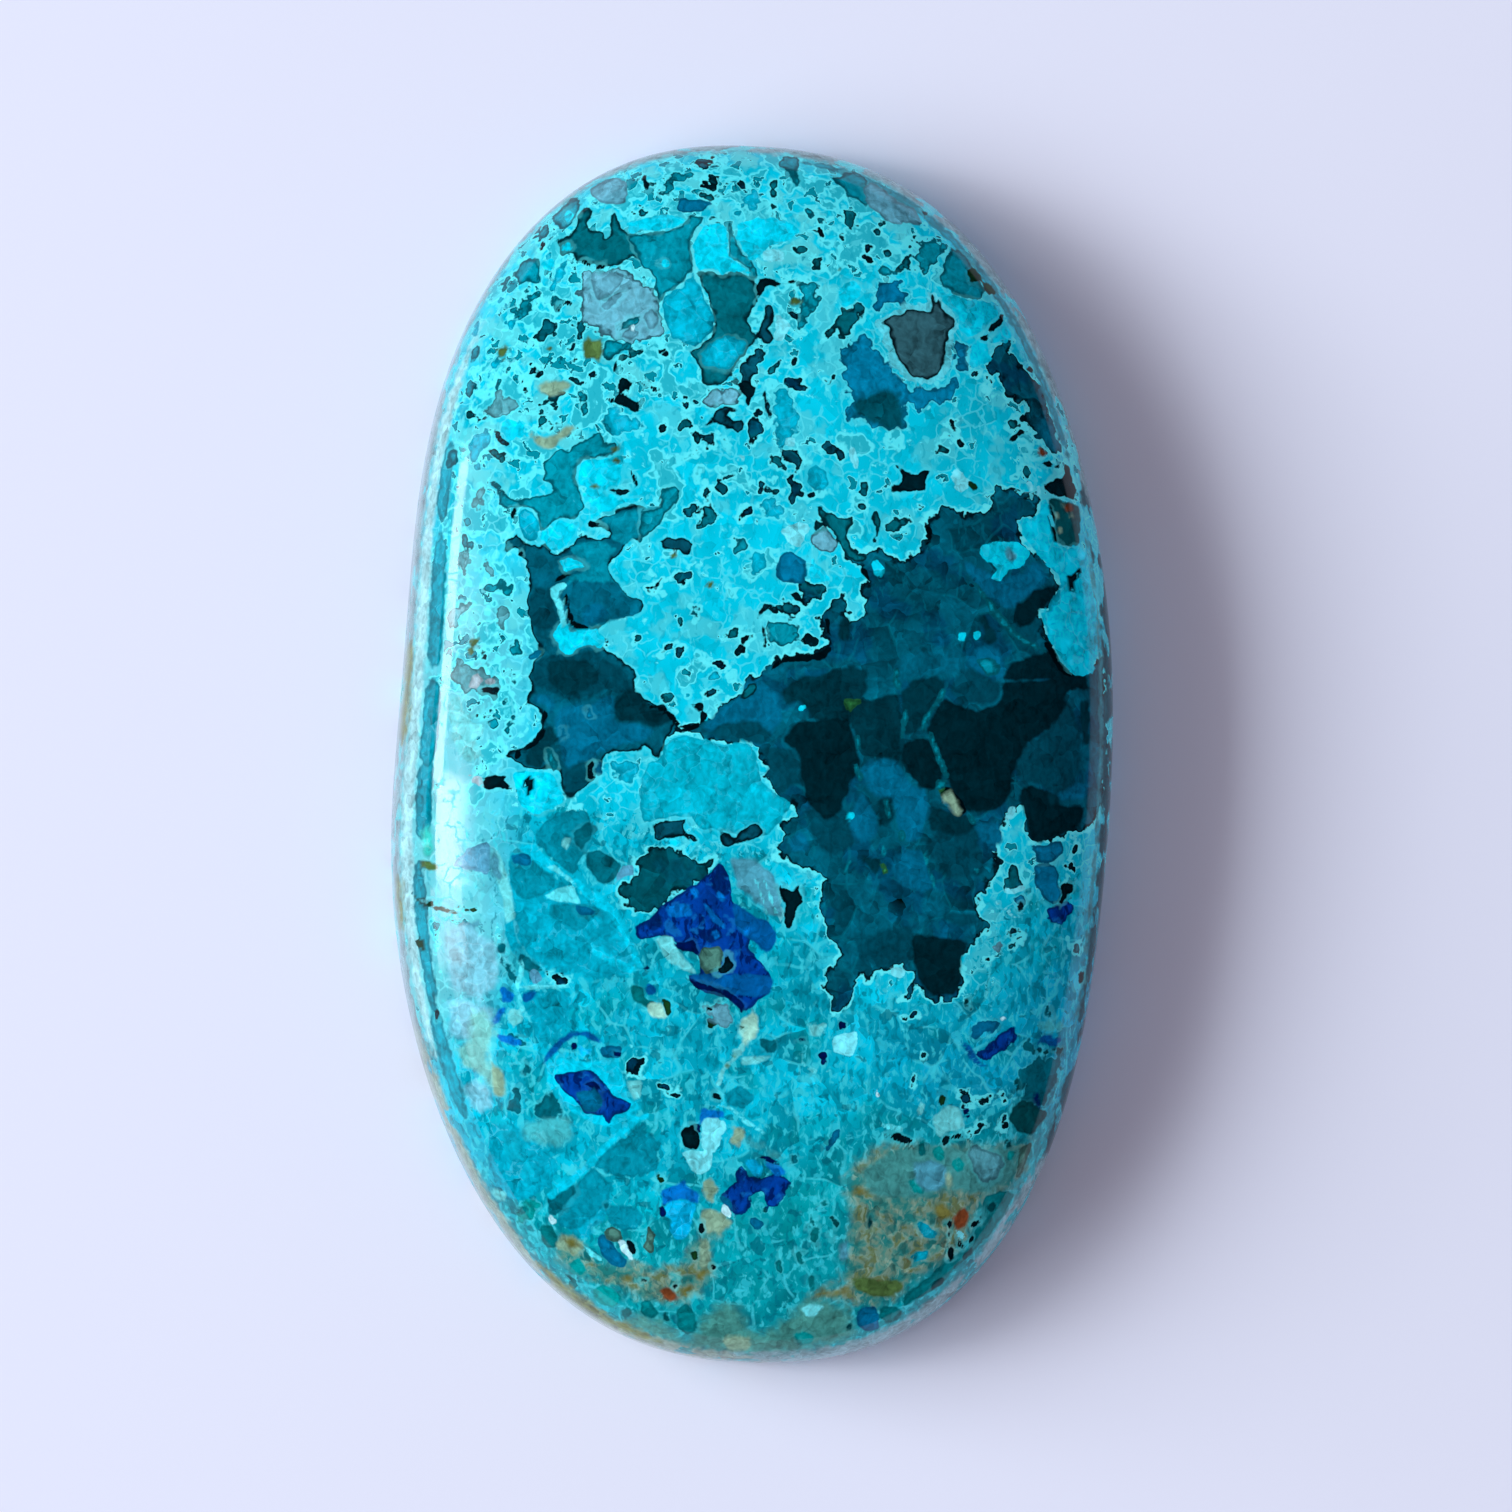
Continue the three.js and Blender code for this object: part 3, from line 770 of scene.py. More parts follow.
DARK_FACETS = {
    "teal facet": [
        [(545, 690), (560, 700), (600, 700), (615, 695), (618, 720), (602, 745), (578, 752), (562, 738),
         (550, 715)],
        [(893, 668), (905, 655), (930, 652), (950, 648), (968, 655), (968, 664), (955, 672), (940, 674),
         (920, 674), (905, 680), (898, 690), (892, 680)],
        [(762, 672), (770, 664), (784, 664), (788, 672), (784, 682), (770, 680)],
        [(570, 581), (618, 581), (626, 597), (639, 598), (641, 613), (612, 621), (598, 624), (590, 627),
         (569, 627), (562, 608), (561, 592)],
        [(532, 573), (561, 573), (559, 581), (548, 586), (534, 589)],
        [(922, 896), (939, 899), (952, 911), (941, 918), (922, 914)],
        [(834, 812), (842, 802), (845, 817), (836, 836), (827, 842), (825, 829)],
    ],
    "lit facet": [
        [(968, 660), (975, 648), (990, 645), (1003, 652), (1006, 665), (1002, 680), (985, 676), (972, 668)],
        [(960, 560), (985, 570), (1000, 580), (1020, 575), (1035, 560), (1045, 572), (1048, 583),
         (1035, 592), (1020, 602), (1012, 612), (1000, 605), (985, 595), (972, 580)],
        [(742, 682), (764, 682), (777, 693), (780, 706), (782, 720), (770, 735), (765, 750), (755, 745),
         (745, 738), (730, 740), (712, 733), (702, 728), (710, 718), (722, 706), (735, 702), (741, 695)],
        [(580, 613), (596, 602), (612, 613), (602, 622), (583, 626)],
        [(561, 707), (590, 704), (602, 698), (615, 696), (614, 722), (638, 723), (654, 730), (644, 742),
         (622, 744), (602, 752), (590, 762), (580, 773), (564, 768), (561, 752), (553, 720)],
        [(538, 693), (548, 694), (556, 704), (553, 714), (545, 704), (532, 701)],
        [(799, 830), (808, 836), (810, 851), (791, 853), (789, 842)],
        [(862, 791), (873, 808), (878, 825), (875, 838), (860, 842), (851, 832), (847, 821), (855, 802)],
        [(860, 768), (868, 760), (885, 757), (897, 760), (905, 775), (918, 790), (926, 786), (929, 802),
         (926, 821), (922, 838), (911, 842), (899, 836), (896, 817), (890, 797), (876, 798), (866, 785)],
        [(896, 855), (909, 849), (922, 851), (929, 870), (935, 890), (926, 892), (911, 890), (896, 881),
         (890, 870)],
        [(959, 817), (982, 823), (1000, 821), (1004, 842), (995, 847), (982, 842), (970, 827)],
        [(1047, 780), (1071, 782), (1090, 784), (1088, 799), (1060, 800), (1049, 795)],
    ],
    "dim facet": [
        [(532, 589), (553, 589), (553, 602), (558, 621), (553, 632), (542, 629), (529, 624)],
        [(719, 723), (756, 720), (772, 733), (764, 749), (756, 742), (730, 742), (708, 734)],
        [(762, 747), (788, 747), (798, 762), (799, 784), (778, 794), (772, 781), (764, 774), (769, 766),
         (764, 758)],
        [(950, 690), (958, 672), (970, 668), (985, 676), (1000, 682), (1000, 700), (985, 706),
         (972, 702), (960, 705)],
        [(926, 842), (941, 827), (963, 815), (978, 829), (982, 855), (985, 868), (978, 877), (948, 877),
         (939, 864), (929, 858)],
        [(885, 929), (911, 926), (914, 941), (911, 959), (885, 967), (860, 963), (855, 948)],
        [(948, 911), (974, 914), (978, 924), (959, 926), (941, 918)],
        [(580, 762), (593, 758), (590, 779), (580, 790), (569, 794), (562, 784), (564, 771)],
        [(812, 797), (836, 795), (847, 817), (851, 834), (860, 843), (836, 855), (823, 851), (810, 836),
         (808, 817)],
        [(542, 656), (567, 654), (596, 650), (612, 662), (628, 672), (630, 688), (625, 693), (604, 690),
         (590, 696), (570, 702), (558, 695), (545, 690), (535, 685), (530, 675)],
        [(1066, 700), (1075, 712), (1082, 740), (1080, 770), (1070, 790), (1055, 795), (1040, 785),
         (1028, 782), (1020, 790), (1018, 775), (1014, 762), (1025, 745), (1045, 732), (1060, 718)],
    ],
    "dark facet": [
        [(783, 690), (800, 676), (830, 672), (850, 665), (868, 670), (866, 690), (862, 700), (880, 698),
         (898, 692), (903, 720), (900, 745), (912, 775), (900, 760), (880, 758), (862, 755), (855, 735),
         (848, 720), (812, 720), (806, 706), (797, 703), (786, 705)],
        [(615, 696), (633, 688), (641, 698), (649, 707), (666, 709), (676, 720), (654, 728), (638, 722),
         (615, 722)],
        [(546, 722), (554, 728), (559, 741), (551, 747), (546, 760), (540, 770), (529, 766), (522, 752),
         (529, 749), (540, 739), (545, 730)],
        [(903, 690), (915, 680), (935, 676), (948, 682), (940, 695), (930, 712), (922, 728), (905, 738),
         (900, 715)],
        [(838, 625), (848, 615), (852, 630), (846, 645), (838, 640)],
        [(929, 804), (942, 810), (959, 815), (969, 815), (978, 827), (959, 836), (941, 832), (929, 827)],
        [(858, 855), (879, 858), (881, 870), (877, 877), (862, 860)],
        [(877, 800), (892, 797), (896, 817), (885, 828), (879, 817)],
        [(1080, 700), (1090, 700), (1090, 745), (1085, 745), (1078, 725)],
        [(1030, 785), (1045, 790), (1060, 795), (1058, 810), (1040, 815), (1025, 805), (1020, 795)],
        [(978, 618), (984, 615), (990, 625), (1000, 640), (990, 645), (980, 640), (984, 630)],
        [(545, 664), (570, 658), (592, 662), (600, 676), (588, 690), (565, 696), (550, 684)],
    ],
    "black facet": [
        [(783, 742), (790, 730), (797, 722), (806, 720), (812, 722), (830, 718), (848, 720), (854, 735),
         (858, 755), (862, 768), (852, 780), (845, 800), (838, 815), (825, 822), (815, 812), (806, 800),
         (802, 780), (800, 760), (796, 750), (788, 745)],
        [(930, 735), (927, 728), (935, 710), (945, 698), (958, 705), (975, 712), (1000, 702),
         (1003, 682), (1040, 680), (1062, 676), (1080, 688), (1066, 692), (1064, 710), (1052, 726),
         (1032, 740), (1020, 756), (1014, 772), (1010, 800), (990, 812), (965, 812), (955, 800),
         (948, 780), (940, 765), (934, 750)],
        [(905, 742), (925, 735), (935, 750), (944, 775), (935, 790), (920, 788), (908, 772), (900, 755)],
        [(1003, 680), (1010, 664), (1035, 655), (1050, 648), (1057, 660), (1065, 674), (1085, 672),
         (1090, 690), (1075, 690), (1060, 680), (1040, 680)],
        [(1015, 605), (1025, 600), (1035, 590), (1048, 585), (1058, 588), (1052, 600), (1040, 610),
         (1032, 625), (1020, 628), (1012, 618)],
        [(1019, 789), (1030, 784), (1045, 791), (1051, 804), (1071, 806), (1086, 808), (1079, 827),
         (1067, 832), (1049, 838), (1041, 845), (1030, 838), (1025, 817), (1021, 806)],
        [(914, 933), (939, 937), (959, 939), (969, 942), (963, 957), (961, 972), (959, 991), (948, 995),
         (935, 997), (926, 989), (918, 978), (914, 959), (911, 944)],
        [(638, 709), (662, 714), (657, 723), (644, 722)],
        [(586, 764), (592, 762), (591, 778), (586, 778)],
        [(562, 793), (570, 792), (576, 796), (568, 799)],
        [(878, 819), (884, 818), (885, 825), (880, 827)],
    ],
    "gap": [
        [(800, 654), (822, 652), (828, 644), (824, 618), (830, 618), (833, 648), (824, 660), (780, 664),
         (770, 672), (772, 664), (785, 656)],
        [(1048, 640), (1054, 648), (1062, 662), (1070, 670), (1090, 662), (1092, 668), (1072, 678),
         (1060, 672), (1050, 656), (1042, 642)],
        [(862, 565), (868, 572), (870, 580), (864, 588), (866, 580), (860, 572)],
        [(924, 522), (932, 530), (932, 540), (925, 548), (928, 538)],
        [(602, 638), (610, 639), (616, 646), (606, 646)],
        [(649, 704), (666, 707), (681, 724), (692, 726), (700, 721), (701, 726), (690, 731), (678, 728),
         (664, 712), (650, 709)],
        [(543, 708), (547, 712), (546, 732), (538, 744), (524, 752), (518, 754), (524, 748), (536, 740),
         (542, 728)],
        [(514, 749), (521, 748), (522, 756), (515, 759)],
        [(944, 786), (951, 787), (959, 796), (968, 812), (960, 816), (950, 808), (943, 799), (939, 790)],
        [(548, 586), (556, 577), (566, 572), (572, 574), (564, 580), (554, 584)],
        [(563, 592), (567, 590), (571, 612), (575, 622), (590, 628), (586, 631), (572, 628), (566, 616)],
    ],
    "bright": [
        [(957, 631), (966, 633), (965, 641), (957, 640)],
        [(973, 630), (981, 631), (980, 639), (973, 638)],
        [(848, 812), (855, 812), (854, 819), (848, 818)],
        [(799, 705), (805, 705), (805, 711), (799, 711)],
        [(704, 716), (709, 716), (709, 721), (704, 721)],
        [(552, 634), (558, 624), (565, 622), (570, 631), (588, 629), (597, 628), (606, 640), (602, 648),
         (588, 645), (577, 648), (568, 655), (560, 650)],
    ],
    "teal": [
        [(975, 660), (990, 655), (1000, 666), (998, 678), (985, 676)],
        [(972, 582), (978, 584), (993, 602), (1008, 622), (1020, 635), (1048, 650), (1047, 656),
         (1018, 642), (1003, 628), (986, 606)],
        [(893, 670), (899, 668), (903, 685), (898, 692), (893, 683)],
        [(942, 688), (948, 690), (928, 722), (924, 732), (919, 730), (924, 716)],
        [(928, 733), (933, 733), (944, 762), (951, 778), (945, 779), (938, 765)],
        [(904, 707), (910, 707), (905, 740), (899, 740)],
        [(854, 735), (860, 734), (862, 750), (856, 750)],
        [(852, 764), (858, 763), (865, 780), (859, 782)],
        [(883, 799), (890, 798), (893, 818), (887, 820)],
        [(896, 829), (904, 829), (906, 842), (899, 843)],
        [(546, 747), (552, 749), (558, 768), (553, 774), (547, 762)],
        [(965, 813), (970, 813), (979, 825), (973, 827)],
        [(936, 780), (948, 780), (947, 787), (936, 792)],
    ],
    "pale": [
        [(1010, 806), (1016, 808), (1014, 815), (1009, 822), (1004, 818)],
    ],
    "leaf": [
        [(843, 699), (860, 698), (861, 703), (853, 707), (850, 714), (845, 708)],
        [(879, 864), (885, 862), (889, 872), (884, 877)],
        [(937, 781), (944, 783), (946, 790), (940, 794), (937, 789)],
    ],
    "streak": [
        [(922, 852), (926, 852), (937, 889), (934, 891)],
        [(849, 859), (852, 861), (845, 878), (842, 876)],
        [(881, 845), (884, 845), (886, 856), (883, 856)],
        [(972, 866), (979, 869), (976, 875)],
    ],
    "black": [
        [(690, 704), (702, 701), (705, 709), (708, 716), (702, 724), (698, 712)],
        [(706, 667), (712, 660), (720, 659), (727, 667), (724, 671), (714, 665)],
        [(735, 651), (743, 637), (752, 630), (757, 633), (746, 642), (738, 655)],
        [(802, 632), (808, 626), (813, 635), (820, 643), (811, 648), (802, 645)],
    ],
    "ink": [
        [(652, 658), (660, 651), (665, 644), (671, 640), (680, 646), (687, 651), (677, 656), (669, 650)],
        [(703, 696), (708, 689), (714, 685), (719, 690), (714, 696), (706, 700)],
        [(760, 625), (765, 625), (768, 648), (763, 647)],
        [(718, 828), (735, 838), (744, 828), (757, 823), (765, 829), (762, 837), (742, 844), (722, 847)],
        [(652, 822), (678, 820), (690, 817), (683, 826), (699, 843), (680, 836), (656, 841)],
    ],
    "deep teal": [
        [(726, 638), (733, 630), (741, 624), (738, 633), (730, 641)],
        [(658, 698), (667, 692), (676, 695), (667, 701)],
        [(635, 633), (642, 633), (642, 642), (635, 641)],
    ],
    "sea": [
        [(681, 687), (688, 685), (692, 692), (684, 693)],
        [(707, 676), (715, 672), (721, 677), (713, 682)],
    ],
    "glass dim": [
        [(568, 548), (585, 541), (602, 541), (618, 548), (606, 562), (611, 575), (622, 590), (632, 600),
         (641, 604), (636, 614), (612, 616), (600, 626), (576, 622), (568, 605), (564, 588), (570, 576),
         (588, 570)],
        [(600, 518), (614, 514), (640, 508), (662, 505), (655, 520), (640, 536), (624, 546), (612, 540),
         (613, 530)],
    ],
    "glass": [
        [(576, 612), (584, 600), (600, 600), (607, 610), (598, 622), (580, 621)],
    ],
    "vein": [
        [(550, 589), (556, 583), (566, 582), (567, 588), (558, 590), (564, 610), (567, 628), (562, 628),
         (558, 612)],
    ],
}
FOOT_ZONES = {
    "ochre zone": [
        [(850, 1170), (870, 1150), (900, 1142), (940, 1147), (965, 1144), (1005, 1147), (1030, 1138),
         (1026, 1165), (1012, 1190), (995, 1192), (983, 1207), (970, 1240), (955, 1262), (935, 1268),
         (915, 1280), (900, 1297), (880, 1308), (855, 1305), (838, 1298), (815, 1301), (806, 1296),
         (845, 1280), (842, 1255), (848, 1235), (852, 1215), (845, 1190)],
    ],
    "tan zone": [
        [(556, 1246), (566, 1234), (582, 1242), (584, 1252), (605, 1262), (640, 1262), (655, 1270),
         (685, 1262), (690, 1245), (704, 1232), (700, 1215), (712, 1211), (730, 1224), (722, 1234),
         (710, 1246), (712, 1262), (718, 1270), (702, 1290), (690, 1300), (664, 1305), (640, 1300),
         (618, 1290), (590, 1280), (562, 1268)],
        [(700, 1322), (722, 1302), (740, 1308), (746, 1325), (765, 1332), (790, 1316), (806, 1298),
         (850, 1308), (858, 1338), (820, 1348), (780, 1356), (740, 1358), (690, 1350), (650, 1338),
         (620, 1322), (640, 1312), (665, 1322), (688, 1342)],
    ],
}
FOOT_LEFT = {
    "green dim": [
        [(566, 1274), (573, 1276), (586, 1289), (579, 1291), (568, 1283)],
        [(620, 1311), (628, 1306), (633, 1315), (624, 1320)],
    ],
    "green dark": [
        [(662, 1310), (668, 1311), (670, 1322), (664, 1320)],
    ],
    "moss": [
        [(691, 1253), (697, 1251), (698, 1260), (692, 1260)],
    ],
    "beige": [
        [(702, 1180), (710, 1177), (717, 1190), (714, 1201), (706, 1199)],
    ],
}
FOOT_RIGHT = {
    "black": [
        [(1000, 1117), (1006, 1114), (1006, 1129), (1000, 1128)],
    ],
    "ink": [
        [(965, 1130), (972, 1129), (970, 1136), (965, 1136)],
        [(978, 1122), (985, 1118), (985, 1127), (979, 1130)],
    ],
    "green dark": [
        [(832, 1218), (841, 1218), (839, 1223), (832, 1223)],
        [(759, 1208), (767, 1208), (765, 1213), (760, 1213)],
        [(845, 1324), (852, 1322), (852, 1330), (846, 1330)],
        [(1004, 1140), (1011, 1138), (1012, 1148), (1006, 1150)],
    ],
    "navy": [
        [(963, 1109), (969, 1108), (970, 1118), (965, 1118)],
    ],
    "green dim": [
        [(807, 1278), (813, 1274), (816, 1290), (810, 1293)],
        [(818, 1202), (828, 1200), (828, 1207), (819, 1208)],
        [(795, 1250), (805, 1250), (805, 1262), (797, 1262)],
        [(918, 1140), (926, 1140), (926, 1155), (919, 1156)],
    ],
    "slate": [
        [(911, 1165), (930, 1159), (945, 1164), (948, 1180), (940, 1193), (925, 1191), (914, 1180)],
        [(838, 1245), (848, 1240), (850, 1255), (842, 1262)],
    ],
    "green": [
        [(908, 1181), (916, 1177), (926, 1185), (924, 1193), (913, 1193)],
        [(931, 1150), (940, 1144), (946, 1154), (943, 1163), (934, 1160)],
        [(950, 1160), (960, 1156), (966, 1168), (956, 1174)],
        [(1016, 1152), (1010, 1150), (1006, 1158), (1012, 1162)],
    ],
    "beige": [
        [(944, 1176), (950, 1170), (954, 1184), (948, 1192)],
        [(720, 1340), (735, 1334), (752, 1338), (748, 1350), (730, 1352)],
    ],
    "dusty": [
        [(858, 1172), (880, 1156), (905, 1148), (965, 1147), (1006, 1149), (1024, 1146), (1015, 1178),
         (985, 1196), (955, 1190), (925, 1198), (890, 1200), (866, 1192)],
    ],
}
GLASS_LEFT = {
    "blue grey": [
        [(453, 866), (460, 855), (480, 842), (490, 842), (490, 875), (460, 868)],
        [(614, 882), (621, 866), (634, 864), (634, 875), (623, 877), (612, 888)],
        [(528, 974), (535, 968), (546, 981), (533, 984)],
    ],
    "slate": [
        [(490, 842), (500, 857), (502, 880), (490, 875)],
        [(457, 923), (470, 922), (482, 920), (480, 927), (472, 933), (465, 930)],
    ],
    "moss": [
        [(408, 893), (430, 903), (455, 910), (466, 917), (455, 915), (430, 908)],
        [(455, 906), (480, 907), (479, 911), (458, 911)],
        [(657, 1177), (663, 1176), (667, 1180), (661, 1184)],
    ],
    "glass": [
        [(511, 853), (528, 853), (544, 868), (573, 888), (603, 906), (621, 924), (632, 941), (639, 963),
         (626, 977), (599, 979), (573, 972), (546, 968), (528, 955), (517, 937), (513, 910), (508, 888),
         (508, 866)],
        [(504, 906), (513, 910), (517, 941), (528, 957), (519, 963), (506, 941)],
        [(524, 992), (564, 990), (575, 1000), (570, 1014), (560, 1039), (544, 1046), (534, 1039),
         (530, 1014), (524, 1003)],
        [(490, 1120), (520, 1126), (545, 1150), (560, 1165), (550, 1190), (520, 1200), (500, 1200),
         (488, 1170)],
    ],
    "glass dim": [
        [(511, 853), (528, 853), (544, 871), (557, 880), (555, 888), (544, 893), (528, 902), (515, 893),
         (508, 877)],
        [(550, 904), (581, 904), (603, 908), (595, 919), (577, 933), (564, 924), (550, 917)],
        [(544, 820), (564, 809), (590, 813), (595, 829), (595, 844), (581, 857), (573, 875), (564, 871),
         (550, 860), (537, 844), (537, 829)],
        [(594, 1159), (609, 1145), (623, 1137), (645, 1116), (647, 1130), (659, 1140), (659, 1169),
         (647, 1173), (630, 1178), (618, 1178), (599, 1169)],
        [(575, 1183), (594, 1166), (604, 1178), (613, 1183), (609, 1200), (594, 1217), (575, 1231),
         (560, 1227), (556, 1217)],
        [(604, 1205), (623, 1205), (638, 1207), (645, 1217), (638, 1229), (623, 1231), (609, 1224)],
    ],
    "glass dark": [
        [(515, 950), (528, 957), (544, 970), (528, 972), (519, 963)],
        [(500, 952), (513, 968), (517, 983), (508, 977), (497, 961)],
        [(498, 941), (506, 944), (504, 955), (496, 952)],
        [(573, 831), (592, 820), (592, 838), (581, 851), (575, 844)],
        [(586, 853), (599, 849), (608, 855), (623, 864), (614, 882), (603, 886), (592, 875), (586, 864)],
        [(498, 1037), (510, 1035), (520, 1038), (532, 1048), (518, 1042), (504, 1041)],
        [(515, 1087), (522, 1089), (520, 1111), (505, 1111), (512, 1099)],
        [(548, 1087), (560, 1101), (563, 1118), (553, 1120), (536, 1118), (534, 1111), (544, 1101)],
        [(522, 1063), (533, 1063), (532, 1075), (522, 1072)],
        [(546, 1198), (575, 1183), (577, 1193), (565, 1205), (556, 1217), (548, 1210)],
        [(589, 1226), (597, 1219), (600, 1222), (592, 1230)],
        [(604, 1202), (609, 1203), (608, 1208), (604, 1208)],
    ],
    "glass bright": [
        [(517, 846), (533, 842), (546, 855), (564, 868), (581, 882), (599, 895), (615, 906), (626, 924),
         (632, 941), (639, 955), (645, 968), (637, 968), (628, 950), (619, 930), (608, 913), (592, 904),
         (577, 888), (559, 875), (542, 868), (528, 857)],
        [(586, 937), (603, 950), (626, 963), (639, 968), (630, 975), (608, 963), (592, 955)],
        [(545, 1194), (560, 1184), (580, 1170), (596, 1152), (612, 1135), (632, 1118), (648, 1112),
         (650, 1117), (634, 1127), (616, 1142), (600, 1158), (584, 1176), (566, 1190), (550, 1200)],
        [(597, 1065), (618, 1055), (623, 1072), (626, 1096), (618, 1096), (606, 1080)],
        [(545, 1068), (560, 1058), (585, 1062), (612, 1058), (622, 1068), (628, 1098), (645, 1106),
         (632, 1118), (606, 1128), (580, 1118), (562, 1104), (548, 1086)],
    ],
    "haze": [
        [(520, 1123), (541, 1120), (570, 1116), (573, 1135), (560, 1149), (544, 1145), (522, 1137)],
    ],
    "blue dim": [
        [(511, 855), (528, 853), (533, 864), (522, 866), (513, 864)],
        [(573, 904), (590, 908), (601, 913), (590, 917), (577, 913)],
        [(597, 1046), (623, 1046), (620, 1058), (604, 1058)],
        [(575, 1092), (597, 1089), (604, 1104), (594, 1113), (582, 1108)],
        [(667, 1193), (679, 1193), (677, 1205), (668, 1207)],
    ],
    "milk": [
        [(490, 842), (504, 860), (508, 877), (513, 895), (515, 919), (506, 924), (502, 899), (497, 880),
         (491, 862)],
        [(564, 838), (570, 838), (566, 851), (561, 844)],
        [(510, 1010), (520, 1007), (524, 1019), (515, 1029), (505, 1024)],
        [(488, 1186), (507, 1193), (505, 1202), (495, 1200)],
        [(626, 1080), (642, 1080), (642, 1096), (633, 1101)],
        [(486, 1010), (491, 1024), (492, 1043), (493, 1072), (505, 1092), (495, 1096), (492, 1082),
         (486, 1048)],
    ],
    "vein": [
        [(545, 895), (557, 888), (573, 884), (577, 895), (581, 904), (564, 902), (548, 899)],
        [(542, 864), (555, 871), (573, 886), (581, 888), (570, 877), (555, 866)],
        [(517, 986), (540, 985), (572, 985), (572, 988), (540, 989), (517, 990)],
        [(515, 941), (524, 967), (519, 988), (524, 1012), (521, 1012), (515, 988), (520, 967)],
    ],
    "black": [
        [(548, 974), (572, 981), (559, 986), (550, 983)],
        [(489, 1044), (493, 1043), (493, 1050), (489, 1050)],
        [(626, 1065), (633, 1048), (638, 1058), (647, 1060), (638, 1070), (642, 1077), (630, 1077),
         (626, 1072)],
        [(654, 1080), (671, 1089), (679, 1096), (674, 1101), (662, 1089)],
    ],
    "navy": [
        [(570, 1042), (577, 1043), (576, 1053), (571, 1052)],
        [(614, 1052), (622, 1052), (621, 1056), (614, 1056)],
        [(582, 1084), (594, 1080), (604, 1092), (594, 1089)],
        [(659, 1206), (665, 1205), (666, 1217), (660, 1217)],
        [(643, 966), (650, 965), (650, 971), (643, 972)],
        [(622, 979), (626, 978), (626, 983), (622, 984)],
    ],
    "azurite": [
        [(553, 1075), (570, 1072), (582, 1070), (594, 1070), (606, 1084), (613, 1094), (623, 1099),
         (633, 1104), (628, 1111), (613, 1116), (609, 1125), (604, 1120), (604, 1116), (585, 1113),
         (575, 1101), (565, 1092), (556, 1082)],
    ],
    "azurite dim": [
        [(560, 1039), (570, 1031), (589, 1031), (604, 1041), (601, 1045), (585, 1036), (573, 1036),
         (563, 1046), (553, 1055), (544, 1065), (542, 1060), (551, 1048)],
        [(522, 992), (537, 990), (533, 1001), (524, 1003)],
    ],
    "blue bright": [
        [(577, 1046), (592, 1046), (594, 1056), (580, 1058)],
    ],
    "white": [
        [(547, 1217), (553, 1216), (558, 1222), (552, 1225)],
    ],
    "lilac": [
        [(446, 930), (470, 926), (492, 940), (500, 962), (496, 985), (478, 1000), (462, 995), (448, 985),
         (444, 955)],
        [(446, 1000), (462, 998), (482, 1004), (496, 1012), (490, 1030), (474, 1036), (460, 1040),
         (450, 1034)],
        [(464, 1088), (476, 1080), (490, 1086), (492, 1104), (484, 1112), (472, 1106)],
    ],
    "sand": [
        [(470, 1014), (484, 1010), (496, 1030), (490, 1046), (488, 1060), (496, 1072), (505, 1090),
         (498, 1098), (490, 1086), (478, 1072), (462, 1066), (456, 1048), (470, 1040)],
    ],
    "azurite light": [
        [(500, 990), (508, 987), (515, 994), (510, 1004), (503, 1000)],
        [(500, 1008), (507, 1007), (500, 1020), (492, 1027), (491, 1020)],
        [(497, 1035), (506, 1035), (521, 1040), (519, 1046), (500, 1042)],
    ],
    "bright": [
        [(478, 1075), (490, 1075), (491, 1086), (480, 1087)],
    ],
    "beige": [
        [(492, 1062), (500, 1068), (506, 1086), (503, 1097), (494, 1095), (492, 1080)],
    ],
}
